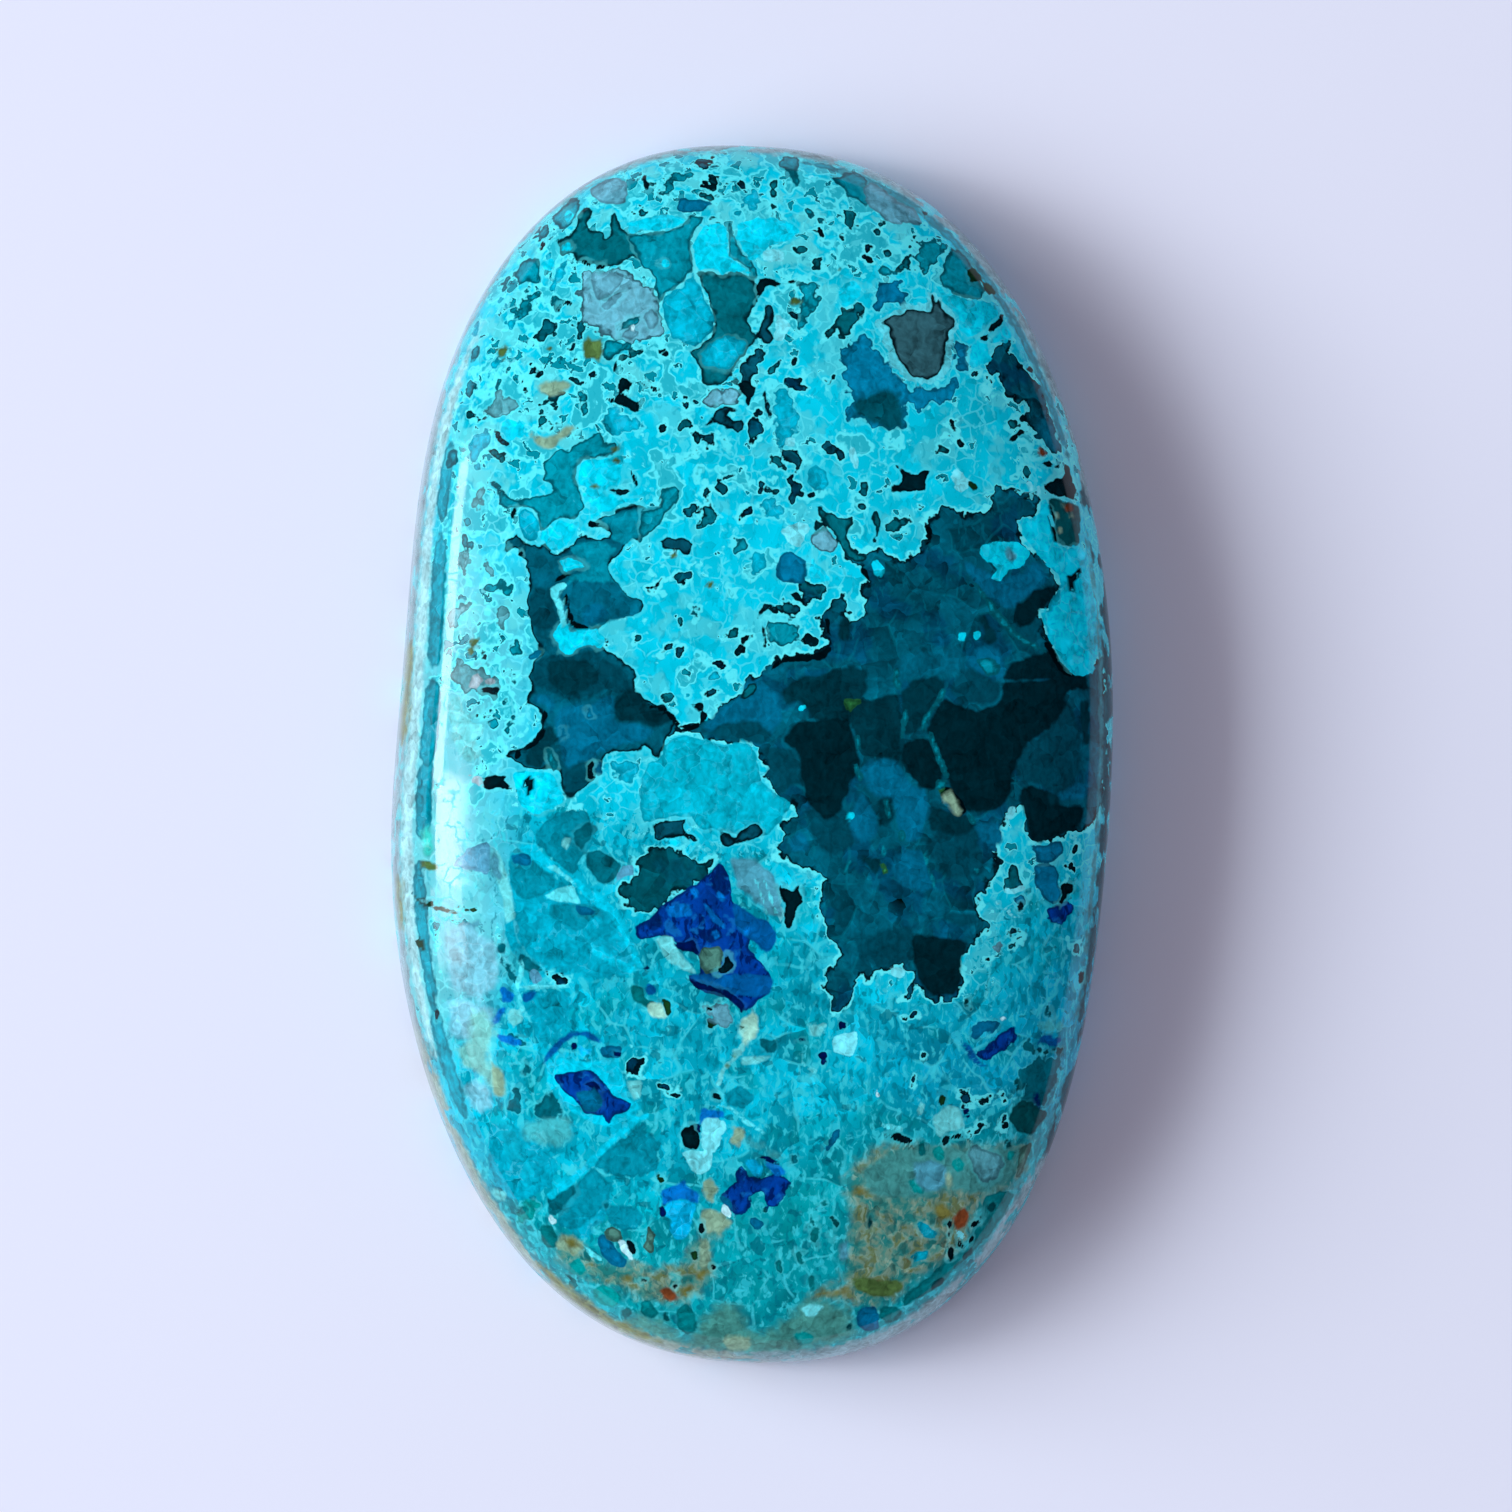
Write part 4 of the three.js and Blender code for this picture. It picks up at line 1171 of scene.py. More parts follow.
AZURITE_MIDDLE = {
    "azurite": [
        [(720, 861), (731, 878), (732, 900), (748, 916), (754, 933), (748, 948), (760, 960), (771, 975),
         (773, 990), (760, 1000), (747, 1012), (738, 1008), (728, 998), (705, 993), (692, 985),
         (688, 975), (700, 975), (700, 955), (690, 950), (678, 945), (668, 936), (655, 936), (640, 940),
         (634, 935), (636, 925), (650, 918), (665, 903), (685, 890), (705, 878)],
    ],
    "azurite light": [
        [(743, 929), (748, 925), (753, 929), (749, 936), (744, 935)],
        [(711, 932), (717, 930), (721, 937), (715, 941)],
        [(716, 893), (720, 891), (726, 900), (722, 903)],
        [(690, 890), (696, 888), (700, 896), (694, 899)],
        [(665, 907), (689, 902), (692, 916), (670, 919)],
        [(703, 903), (708, 905), (715, 915), (722, 920), (727, 928), (722, 928), (713, 922), (706, 912)],
    ],
    "azurite dark": [
        [(716, 866), (728, 873), (730, 892), (720, 900), (713, 890)],
        [(700, 930), (716, 926), (724, 938), (712, 944), (702, 940)],
        [(646, 922), (660, 914), (664, 926), (650, 932)],
    ],
    "azurite dim": [
        [(732, 900), (754, 916), (769, 921), (778, 936), (769, 955), (749, 940), (735, 928)],
        [(689, 974), (716, 974), (754, 974), (773, 977), (773, 993), (754, 998), (725, 993), (701, 986)],
        [(643, 986), (657, 984), (658, 993), (648, 998)],
    ],
    "grey quartz": [
        [(704, 1005), (725, 1003), (735, 1013), (735, 1025), (720, 1027), (708, 1018)],
    ],
    "vein": [
        [(754, 880), (757, 880), (770, 916), (766, 915)],
        [(762, 878), (765, 878), (778, 914), (775, 914)],
    ],
    "black": [
        [(778, 880), (783, 887), (793, 890), (800, 883), (800, 895), (806, 902), (800, 904), (795, 916),
         (793, 926), (786, 933), (784, 924), (786, 907), (781, 895)],
        [(725, 950), (735, 965), (725, 974), (713, 973), (723, 965)],
        [(737, 1025), (742, 1030), (740, 1037)],
        [(706, 1007), (713, 1007), (713, 1011), (706, 1011)],
    ],
    "pale": [
        [(769, 883), (778, 890), (783, 912), (783, 933), (778, 916), (769, 900)],
    ],
    "milk": [
        [(655, 938), (672, 936), (677, 950), (692, 965), (696, 974), (682, 969), (663, 957)],
    ],
    "murky": [
        [(701, 948), (720, 945), (725, 955), (720, 972), (706, 974), (699, 965)],
    ],
    "navy": [
        [(672, 943), (696, 940), (699, 955), (682, 951)],
        [(687, 977), (696, 989), (720, 993), (735, 1003), (742, 1013), (747, 1005), (740, 1000),
         (725, 989), (704, 984)],
    ],
    "green dim": [
        [(629, 984), (643, 986), (646, 998), (658, 1003), (648, 1008), (634, 1001)],
    ],
    "moss": [
        [(658, 998), (670, 1001), (672, 1013), (667, 1016), (663, 1005)],
        [(708, 1025), (716, 1025), (716, 1028), (708, 1028)],
    ],
    "cream": [
        [(648, 1003), (663, 1003), (667, 1018), (658, 1020), (649, 1013)],
        [(742, 1020), (754, 1010), (759, 1027), (754, 1040), (742, 1040), (737, 1030)],
    ],
    "slate": [
        [(730, 858), (754, 858), (778, 880), (783, 916), (769, 916), (754, 900), (735, 885)],
    ],
}
VEINS = {
    "cream": [
        [(746, 1024), (756, 1024), (755, 1038), (746, 1044), (740, 1042)],
    ],
    "milk": [
        [(746, 1040), (742, 1056), (733, 1062), (724, 1074), (720, 1088), (715, 1086), (722, 1070),
         (732, 1056), (740, 1042)],
        [(740, 1057), (773, 1056), (760, 1064), (742, 1065)],
        [(808, 1022), (826, 1022), (824, 1035), (810, 1035)],
    ],
    "vein": [
        [(801, 1049), (805, 1064), (817, 1071), (830, 1069), (830, 1073), (816, 1075), (802, 1067)],
        [(717, 1103), (731, 1106), (746, 1119), (764, 1131), (764, 1135), (745, 1124), (730, 1110),
         (717, 1106)],
        [(879, 1121), (886, 1124), (902, 1127), (904, 1132), (884, 1130)],
    ],
    "olive": [
        [(731, 1054), (736, 1054), (736, 1058), (731, 1058)],
        [(726, 1064), (730, 1064), (730, 1068), (726, 1068)],
    ],
    "moss": [
        [(736, 1024), (746, 1026), (740, 1033)],
    ],
    "glass": [
        [(748, 1046), (762, 1040), (779, 1042), (779, 1053), (755, 1055)],
    ],
    "glass dim": [
        [(722, 1093), (742, 1086), (755, 1097), (744, 1110), (724, 1104)],
    ],
    "glass dark": [
        [(760, 1038), (777, 1040), (775, 1053), (766, 1053), (762, 1046)],
        [(793, 1152), (801, 1155), (799, 1163), (790, 1163)],
    ],
    "ink": [
        [(713, 1091), (724, 1096), (722, 1102), (713, 1099)],
    ],
    "navy": [
        [(797, 1038), (806, 1038), (805, 1042), (798, 1043)],
        [(839, 1023), (848, 1021), (846, 1027), (840, 1029)],
        [(821, 1053), (826, 1053), (825, 1063), (821, 1064)],
        [(693, 1124), (701, 1124), (702, 1133), (694, 1133)],
        [(866, 1084), (872, 1086), (872, 1091), (867, 1090)],
        [(748, 1152), (764, 1155), (782, 1163), (777, 1166), (760, 1159)],
    ],
    "pale": [
        [(835, 1035), (857, 1031), (859, 1040), (852, 1057), (843, 1055), (835, 1053), (832, 1044)],
        [(702, 1119), (713, 1115), (726, 1121), (722, 1141), (711, 1155), (702, 1148), (700, 1137)],
        [(680, 1152), (698, 1150), (713, 1152), (711, 1168), (700, 1177), (691, 1168)],
    ],
    "blue dim": [
        [(848, 1040), (857, 1044), (852, 1055), (843, 1051)],
        [(718, 1194), (731, 1199), (733, 1212), (724, 1205)],
        [(824, 1152), (830, 1140), (838, 1126), (841, 1129), (834, 1142), (828, 1154)],
    ],
    "haze": [
        [(746, 1139), (764, 1144), (777, 1153), (789, 1158), (788, 1161), (774, 1157), (760, 1149),
         (746, 1143)],
    ],
    "beige": [
        [(733, 1126), (744, 1130), (740, 1146), (731, 1141)],
    ],
    "azurite light": [
        [(700, 1108), (724, 1110), (726, 1119), (706, 1117), (698, 1128)],
        [(764, 1159), (782, 1166), (786, 1175), (777, 1177), (766, 1168)],
    ],
    "black": [
        [(680, 1133), (691, 1124), (700, 1137), (698, 1150), (684, 1146)],
        [(884, 1131), (900, 1134), (914, 1138), (915, 1145), (896, 1142), (884, 1137)],
    ],
    "azurite": [
        [(740, 1163), (751, 1175), (757, 1177), (779, 1172), (790, 1181), (788, 1192), (777, 1208),
         (768, 1208), (762, 1192), (753, 1194), (751, 1210), (735, 1219), (731, 1212), (722, 1199),
         (720, 1194), (733, 1183)],
    ],
    "blue bright": [
        [(742, 1159), (755, 1159), (764, 1168), (760, 1179), (753, 1175), (746, 1166)],
    ],
    "white": [
        [(724, 1203), (733, 1214), (729, 1219), (720, 1210)],
        [(874, 1088), (881, 1095), (877, 1100)],
    ],
}
RIGHT_FLANK = {
    "azurite": [
        [(1013, 1022), (1016, 1028), (1018, 1036), (1012, 1044), (1005, 1050), (996, 1054), (988, 1059),
         (981, 1060), (977, 1054), (982, 1048), (990, 1042), (998, 1036), (1004, 1028), (1008, 1023)],
    ],
    "azurite dim": [
        [(962, 1040), (970, 1046), (975, 1055), (981, 1063), (990, 1066), (980, 1068), (972, 1062),
         (966, 1052), (961, 1044)],
        [(1035, 1034), (1050, 1036), (1064, 1037), (1062, 1044), (1048, 1046), (1038, 1044)],
    ],
    "blue dim": [
        [(970, 1030), (980, 1022), (992, 1018), (1002, 1022), (996, 1030), (986, 1036), (978, 1042),
         (972, 1038)],
    ],
    "white": [
        [(1000, 1017), (1006, 1017), (1006, 1021), (1000, 1021)],
    ],
    "glass dark": [
        [(1022, 1042), (1028, 1040), (1033, 1046), (1034, 1053), (1027, 1053), (1022, 1048)],
        [(1016, 1068), (1028, 1064), (1040, 1058), (1052, 1056), (1062, 1058), (1060, 1072), (1056, 1085),
         (1050, 1098), (1044, 1108), (1030, 1106), (1020, 1100), (1024, 1090), (1018, 1080)],
    ],
    "green dark": [
        [(1012, 1106), (1022, 1100), (1032, 1102), (1040, 1108), (1048, 1112), (1042, 1124), (1034, 1134),
         (1022, 1134), (1014, 1128), (1008, 1118)],
        [(1038, 1050), (1055, 1049), (1062, 1050), (1058, 1053), (1042, 1053)],
        [(1013, 1080), (1018, 1076), (1020, 1086), (1016, 1092)],
        [(967, 1148), (975, 1144), (983, 1150), (980, 1158), (972, 1156)],
        [(965, 1002), (968, 1002), (969, 1008), (966, 1008)],
    ],
    "azurite dark": [
        [(1032, 1092), (1038, 1092), (1042, 1108), (1040, 1116), (1034, 1110)],
    ],
    "haze": [
        [(1040, 1020), (1054, 1018), (1064, 1026), (1060, 1033), (1044, 1032)],
    ],
    "milk": [
        [(932, 1118), (940, 1110), (948, 1104), (958, 1108), (962, 1114), (965, 1126), (958, 1131),
         (946, 1132), (940, 1138), (934, 1128)],
        [(917, 1100), (922, 1098), (924, 1110), (920, 1114)],
    ],
    "teal": [
        [(951, 1116), (956, 1116), (957, 1122), (952, 1122)],
    ],
    "black": [
        [(940, 1142), (946, 1135), (964, 1133), (964, 1139), (952, 1140), (944, 1147)],
    ],
    "grey grain": [
        [(967, 1148), (975, 1144), (984, 1148), (1000, 1155), (1004, 1165), (998, 1178), (990, 1183),
         (982, 1182), (974, 1170), (968, 1158)],
    ],
    "murky": [
        [(1018, 1150), (1028, 1142), (1034, 1140), (1030, 1152), (1024, 1166), (1020, 1180), (1016, 1176),
         (1018, 1162)],
    ],
}
STAINS_LEFT = {
    "glass": [
        [(577, 1192), (594, 1180), (604, 1190), (612, 1200), (609, 1212), (604, 1222), (594, 1230),
         (590, 1240), (580, 1238), (568, 1230), (560, 1220), (566, 1206)],
    ],
    "green": [
        [(515, 1213), (522, 1204), (534, 1199), (540, 1204), (538, 1212), (530, 1222), (520, 1222)],
        [(592, 1290), (600, 1284), (612, 1288), (622, 1298), (614, 1308), (604, 1306), (594, 1300)],
        [(566, 1262), (580, 1258), (588, 1270), (580, 1276), (570, 1272)],
    ],
    "green dim": [
        [(516, 1210), (524, 1205), (530, 1208), (522, 1216)],
        [(540, 1224), (552, 1226), (558, 1236), (556, 1248), (546, 1248), (540, 1238)],
        [(674, 1310), (686, 1304), (696, 1314), (698, 1330), (688, 1336), (678, 1328)],
        [(640, 1302), (650, 1300), (660, 1312), (652, 1320), (642, 1314)],
    ],
    "murky": [
        [(645, 1226), (652, 1224), (654, 1250), (650, 1258), (644, 1250)],
        [(604, 1230), (612, 1226), (620, 1230), (624, 1240), (614, 1242), (606, 1240)],
    ],
    "beige": [
        [(556, 1246), (562, 1236), (574, 1236), (582, 1242), (584, 1250), (576, 1254), (566, 1252)],
        [(700, 1212), (712, 1208), (724, 1214), (732, 1224), (722, 1232), (708, 1232), (700, 1222)],
        [(701, 1240), (708, 1238), (710, 1262), (704, 1272), (698, 1266)],
    ],
    "vein": [
        [(583, 1244), (594, 1252), (604, 1260), (600, 1262), (590, 1256)],
    ],
    "blue dim": [
        [(596, 1238), (604, 1234), (612, 1242), (620, 1252), (628, 1260), (624, 1268), (612, 1266),
         (602, 1256)],
    ],
    "white": [
        [(618, 1240), (624, 1240), (630, 1250), (634, 1258), (630, 1260), (622, 1252)],
    ],
    "black": [
        [(627, 1240), (632, 1242), (637, 1252), (634, 1256), (629, 1250)],
        [(699, 1222), (704, 1222), (704, 1234), (700, 1234)],
        [(712, 1267), (717, 1266), (716, 1270), (712, 1271)],
        [(690, 1294), (696, 1295), (697, 1299), (691, 1298)],
        [(639, 1277), (647, 1279), (647, 1283), (640, 1282)],
        [(672, 1276), (677, 1274), (679, 1279), (674, 1281)],
        [(673, 1285), (678, 1284), (678, 1289), (674, 1289)],
    ],
    "azurite light": [
        [(660, 1190), (672, 1186), (684, 1180), (690, 1188), (700, 1192), (698, 1206), (690, 1200),
         (680, 1200), (672, 1200), (664, 1206)],
    ],
    "blue bright": [
        [(664, 1206), (672, 1200), (680, 1200), (690, 1200), (698, 1206), (692, 1218), (690, 1232),
         (684, 1240), (676, 1240), (668, 1232), (672, 1220), (664, 1216)],
    ],
    "pale": [
        [(666, 1207), (672, 1202), (680, 1203), (685, 1211), (683, 1221), (676, 1215), (668, 1212)],
    ],
    "ochre": [
        [(564, 1240), (574, 1238), (580, 1246), (570, 1250)],
        [(696, 1272), (704, 1268), (714, 1266), (716, 1270), (706, 1276), (698, 1278)],
        [(682, 1288), (690, 1284), (694, 1292), (696, 1298), (686, 1298), (680, 1296)],
        [(621, 1277), (627, 1275), (631, 1279), (629, 1283), (622, 1282)],
    ],
    "rust": [
        [(660, 1290), (668, 1288), (676, 1292), (680, 1298), (672, 1302), (664, 1298)],
    ],
}
STAINS_RIGHT = {
    "green dim": [
        [(985, 1196), (1008, 1190), (1014, 1196), (1004, 1214), (994, 1230), (980, 1246), (962, 1262),
         (944, 1282), (924, 1296), (905, 1306), (900, 1298), (920, 1282), (940, 1266), (956, 1254),
         (968, 1246), (972, 1230), (980, 1214)],
        [(880, 1306), (896, 1306), (904, 1312), (900, 1320), (886, 1324), (880, 1318)],
        [(808, 1212), (814, 1212), (818, 1246), (812, 1240)],
        [(773, 1250), (778, 1250), (782, 1272), (777, 1270)],
    ],
    "green dark": [
        [(866, 1222), (870, 1214), (874, 1222), (872, 1232), (867, 1230)],
        [(826, 1237), (832, 1235), (834, 1242), (828, 1243)],
        [(986, 1206), (994, 1200), (998, 1208), (990, 1214)],
        [(962, 1254), (972, 1246), (974, 1252), (964, 1260)],
        [(930, 1284), (942, 1276), (944, 1282), (932, 1292)],
    ],
    "green": [
        [(793, 1333), (804, 1331), (814, 1336), (812, 1345), (798, 1346)],
    ],
    "blue dim": [
        [(750, 1219), (764, 1220), (763, 1229), (752, 1231)],
        [(856, 1310), (864, 1305), (876, 1308), (880, 1318), (878, 1330), (866, 1332), (857, 1326)],
    ],
    "ochre": [
        [(930, 1206), (943, 1200), (952, 1208), (954, 1218), (944, 1222), (934, 1216)],
        [(852, 1188), (860, 1186), (868, 1192), (862, 1196), (854, 1194)],
        [(815, 1290), (830, 1291), (848, 1287), (850, 1291), (832, 1297), (816, 1296)],
    ],
    "rust": [
        [(952, 1220), (958, 1212), (965, 1206), (970, 1216), (966, 1228), (958, 1230)],
    ],
    "black": [
        [(947, 1222), (951, 1222), (952, 1242), (948, 1242)],
        [(947, 1244), (953, 1246), (955, 1258), (950, 1262), (947, 1254)],
        [(954, 1234), (960, 1240), (966, 1244), (972, 1236), (972, 1244), (966, 1250), (957, 1246)],
        [(976, 1214), (981, 1211), (984, 1216), (980, 1220)],
        [(970, 1224), (979, 1219), (979, 1223), (971, 1228)],
    ],
    "pale": [
        [(955, 1231), (962, 1230), (966, 1236), (962, 1239), (957, 1237)],
    ],
    "sea": [
        [(915, 1224), (920, 1221), (930, 1226), (938, 1234), (936, 1240), (926, 1238), (918, 1232)],
        [(909, 1256), (918, 1250), (929, 1252), (926, 1260), (914, 1264)],
    ],
    "milk": [
        [(801, 1308), (812, 1303), (823, 1306), (818, 1315), (806, 1317)],
    ],
    "olive": [
        [(850, 1278), (862, 1276), (880, 1280), (900, 1280), (904, 1288), (890, 1298), (870, 1296),
         (855, 1290)],
    ],
}
REGIONS = [
    UPPER_LEFT, UPPER_QUARTZ, UPPER_MIDDLE, UPPER_RIGHT, LEFT_SHOULDER, CENTRE, DARK_LENS,
    RIGHT_SHOULDER, MIDDLE_ZONES, LEFT_SIDE, RIGHT_SIDE, DARK_FACETS, FOOT_ZONES, FOOT_LEFT,
    FOOT_RIGHT, GLASS_LEFT, AZURITE_MIDDLE, VEINS, RIGHT_FLANK, STAINS_LEFT, STAINS_RIGHT,
]

# ---- The stone's minerals, and the painted reflection and shade along its rim -------------------

CRISP = 0.7  # pixels


class Mineral(NamedTuple):
    """How one kind of patch is coloured and how its edge looks."""
    colour: tuple  # sRGB, 0 to 255
    rim: float = 0.0  # strength of the pale line round it
    edge: float = 0.5  # strength of the dark line inside its edge
    broken_up: float = 0.0  # how much of it is broken into gaps, so that what lies below shows; none below about 0.2
    softness: float = CRISP  # pixels over which its edge fades


# Later kinds lie on top of earlier ones.
MINERALS = {
    "dark zone": Mineral((0, 88, 108), rim=1.0, edge=1.0),
    "green zone": Mineral((0, 80, 92), rim=0.8, edge=0.9),
    "ochre zone": Mineral((84, 148, 134), edge=0.0, softness=9.0),
    "tan zone": Mineral((66, 144, 136), edge=0.0, softness=8.0),
    "lower mass": Mineral((0, 182, 206), rim=0.6, edge=0.2),
    # Painted reflection and shade along the rim: the grey and beige bands are painted reflection of the
    # sheet with painted shade, the pale band and the light line are painted reflection of the sheet, and
    # the dark band on the right is painted shade. These are broken into gaps.
    "rim dusk": Mineral((20, 82, 94), edge=0.0, broken_up=0.30, softness=2.0),
    "rim grey": Mineral((124, 164, 172), edge=0.0, broken_up=0.28, softness=3.0),
    "rim line": Mineral((44, 152, 168), edge=0.3, softness=1.5),
    "rim beige": Mineral((138, 164, 152), edge=0.0, broken_up=0.27, softness=3.0),
    "rim pale": Mineral((158, 216, 222), edge=0.0, softness=3.0),
    "rim teal": Mineral((0, 158, 180), rim=0.3, edge=0.4, softness=1.2),
    "rim stain": Mineral((118, 132, 78), edge=0.0, softness=4.0),
    "glass": Mineral((0, 166, 192), edge=0.1, softness=1.5),
    "glass dim": Mineral((0, 140, 162), edge=0.15, softness=1.5),
    "glass dark": Mineral((0, 104, 120), rim=0.2, edge=0.2, softness=1.2),
    "glass bright": Mineral((0, 198, 226), edge=0.0, softness=1.5),
    "haze": Mineral((60, 178, 188), edge=0.0, softness=4.0),
    "azurite": Mineral((0, 60, 150), edge=0.6),
    "azurite dim": Mineral((0, 92, 160), edge=0.1, softness=1.5),
    "azurite dark": Mineral((0, 36, 96), edge=0.0, softness=1.5),
    "halo": Mineral((90, 220, 235), edge=0.0),
    "teal cloud": Mineral((0, 112, 140), edge=0.0, softness=7.0),
    "teal facet": Mineral((0, 98, 122), edge=0.1, softness=2.2),
    "lit facet": Mineral((0, 102, 134), edge=0.1, softness=2.2),
    "dim facet": Mineral((0, 70, 87), edge=0.1, softness=2.6),
    "dark facet": Mineral((0, 52, 64), edge=0.1, softness=2.4),
    "black facet": Mineral((0, 36, 45), edge=0.1, softness=2.0),
    "gap": Mineral((0, 14, 20), edge=0.0),
    "streak": Mineral((0, 128, 145), edge=0.0, softness=1.2),
    "leaf": Mineral((52, 142, 78), edge=0.7),
    "dusty": Mineral((62, 142, 140), edge=0.0, softness=4.5),
    "tooth": Mineral((48, 98, 108), rim=0.3, edge=1.0),
    "quartz": Mineral((96, 178, 198), rim=0.7, edge=0.8),
    "blue": Mineral((0, 130, 170), rim=0.4, edge=0.5),
    "dark grain": Mineral((0, 98, 112), rim=0.9, edge=1.0),
    "deep teal": Mineral((0, 105, 118), rim=0.75, edge=0.9),
    "teal": Mineral((0, 145, 165), rim=0.7, edge=0.7),
    "blue teal": Mineral((0, 118, 158), rim=0.4, edge=0.5),
    "blue dim": Mineral((0, 110, 152), rim=0.1, edge=0.3),
    "green": Mineral((0, 156, 156), rim=0.2, edge=0.2, softness=1.2),
    "green dim": Mineral((0, 122, 128), rim=0.2, edge=0.3, softness=1.2),
    "green dark": Mineral((0, 78, 84), rim=0.2, edge=0.3, softness=1.2),
    "sea": Mineral((0, 180, 208), rim=0.6, edge=0.3),
    "bright": Mineral((0, 212, 238), rim=0.6, edge=0.0),
    "pale": Mineral((112, 230, 242), edge=0.0),
    "blue bright": Mineral((0, 185, 235), edge=0.0, softness=1.2),
    "milk": Mineral((98, 210, 216), edge=0.0, softness=1.5),
    "grey quartz": Mineral((92, 168, 188), rim=0.3, edge=0.4),
    "grey grain": Mineral((84, 170, 182), rim=0.6, edge=0.5),
    "blue grey": Mineral((84, 168, 200), rim=0.1, edge=0.2),
    "slate": Mineral((72, 158, 180), edge=0.2, softness=2.5),
    "murky": Mineral((74, 132, 120), edge=0.6),
    "mint": Mineral((60, 205, 195), edge=0.0, softness=3.0),
    "cream": Mineral((158, 226, 208), edge=0.0, softness=2.0),
    "azurite light": Mineral((0, 118, 205), edge=0.1, softness=1.5),
    "shade": Mineral((0, 78, 92), edge=0.0, softness=4.5),
    "lilac": Mineral((112, 196, 216), edge=0.0, softness=4.5),
    "sand": Mineral((104, 188, 184), edge=0.0, softness=4.5),
    "beige": Mineral((130, 172, 146), edge=0.1, softness=2.5),
    "white": Mineral((180, 240, 250), edge=0.0),
    "pink grey": Mineral((168, 198, 210), edge=0.2),
    "ochre": Mineral((104, 108, 54), edge=0.0, softness=3.5),
    "olive": Mineral((80, 116, 62), edge=0.2, softness=2.0),
    "moss": Mineral((20, 64, 28), rim=0.3, edge=0.5),
    "rust": Mineral((122, 66, 36), edge=0.1, softness=2.0),
    "navy": Mineral((0, 22, 84), rim=0.15, edge=0.3),
    "ink": Mineral((4, 74, 92), rim=0.85, edge=1.0),
    "black": Mineral((0, 30, 38), rim=0.9, edge=1.0),
    "vein": Mineral((84, 226, 238), edge=0.0, softness=1.0),
}


class Ground(NamedTuple):
    """A stretch of the ground between the patches. It fades into the ones before."""
    colour: tuple
    glassy: float  # share of glassy crystals; below 0: how crowded with small grains it is
    outline: list


CRUST_COLOUR = (0, 203, 229)
GROUNDS = [
    # the lower half, with its right flank and its foot
    Ground((0, 180, 206), 0.95, [
        (380, 850), (520, 800), (640, 830), (800, 860), (860, 980), (980, 1010), (1010, 900), (1130, 860),
        (1130, 1400), (380, 1400),
    ]),
    Ground((0, 164, 196), 0.9, [
        (880, 1030), (1000, 1010), (1060, 940), (1130, 900), (1130, 1140), (900, 1140),
    ]),
    Ground((0, 156, 168), 0.9, [
        (480, 1190), (700, 1200), (860, 1130), (1130, 1110), (1130, 1400), (380, 1400),
    ]),
    # the left flank, pale partly by the stone's milky tone and partly by a painted veil of the window's
    # reflection, and its upper part, which is crowded
    Ground((104, 206, 218), 0.2, [
        (360, 700), (440, 560), (500, 640), (490, 820), (506, 940), (470, 1010), (430, 1040), (380, 1040),
    ]),
    Ground((84, 204, 220), -0.7, [
        (425, 560), (470, 545), (530, 590), (520, 700), (500, 765), (455, 750), (430, 680),
    ]),
    # the crowded crust at the top and on the right shoulder
    Ground(CRUST_COLOUR, -1.0, [
        (440, 560), (440, 430), (520, 240), (640, 150), (800, 130), (930, 180), (890, 270), (790, 300),
        (760, 390), (660, 380), (590, 430), (540, 470), (510, 560),
    ]),
    Ground(CRUST_COLOUR, -1.0, [
        (1010, 380), (1090, 400), (1110, 520), (1060, 500), (1010, 470),
    ]),
]
GROUND_FADE = 45.0  # pixels over which a stretch of ground fades


class Band(NamedTuple):
    """A band along the rim."""
    kind: str
    first: float  # bearings of its ends, in degrees clockwise from the top
    last: float
    outer: float  # pixels from the rim inwards to its two sides; below 0: outside the rim
    inner: float


# The grey and beige outer bands are painted reflection of the sheet with painted shade on the steep wall.
# The pale band on the left and the light line on the right are painted reflection of the sheet. The dark
# band on the right is painted shade. The olive stains are the stone's own.
RIM_BANDS = [
    Band("rim grey", -44, 54, -16, 5),
    Band("rim teal", 4, 48, 5, 13),
    Band("rim dusk", 40, 154, -16, 6),
    Band("rim line", 54, 132, 6, 10),
    Band("rim grey", 144, 188, -16, 11),
    Band("rim beige", 178, 232, -16, 11),
    Band("rim grey", 222, 326, -16, 9),
    Band("rim pale", 226, 328, 9, 21),
    Band("rim teal", 218, 232, 18, 33),
    Band("rim teal", 230, 252, 21, 34),
    Band("rim teal", 255, 269, 23, 40),
    Band("rim teal", 267, 283, 23, 40),
    Band("rim teal", 284, 305, 22, 38),
    Band("rim teal", 306, 316, 20, 35),
    Band("rim stain", 271, 288, 1, 9),
    Band("rim stain", 243, 251, 2, 9),
    Band("rim stain", 189, 203, 3, 12),
]
BAND_STEP = 1.5  # degrees
BAND_TAPER = 9.0  # degrees over which a band narrows at each end
SHORT_TAPER = 0.15  # a short band narrows over this share of its length
BLUNT_END = 0.02  # keeps a band's ends from closing to a point

LAYERS = 7
ZONE_FADE_BELOW = 0.1  # how many pixels a patch's edge comes nearer with each pixel below the rim
BAND_FADE_BELOW = 0.25
PATCH_FADE_BELOW = 1.0
FAR = 30.0  # pixels beyond which a patch has no effect
APART = 1.5  # patches nearer than this many pixels lie in different layers
CHUNK = 20000  # points measured at a time
CORNER = 0.87  # where a cut corner starts along each side
COVERED_RIM = 0.3  # share of its pale rim that a patch keeps over another patch


def rounded(outline):
    """Cuts the corners of an outline, as polished grains have them."""
    corner = np.array(outline, dtype=float)
    after = np.roll(corner, -1, axis=0)
    cuts = [CORNER * corner + (1 - CORNER) * after, (1 - CORNER) * corner + CORNER * after]
    return np.stack(cuts, axis=1).reshape(-1, 2)


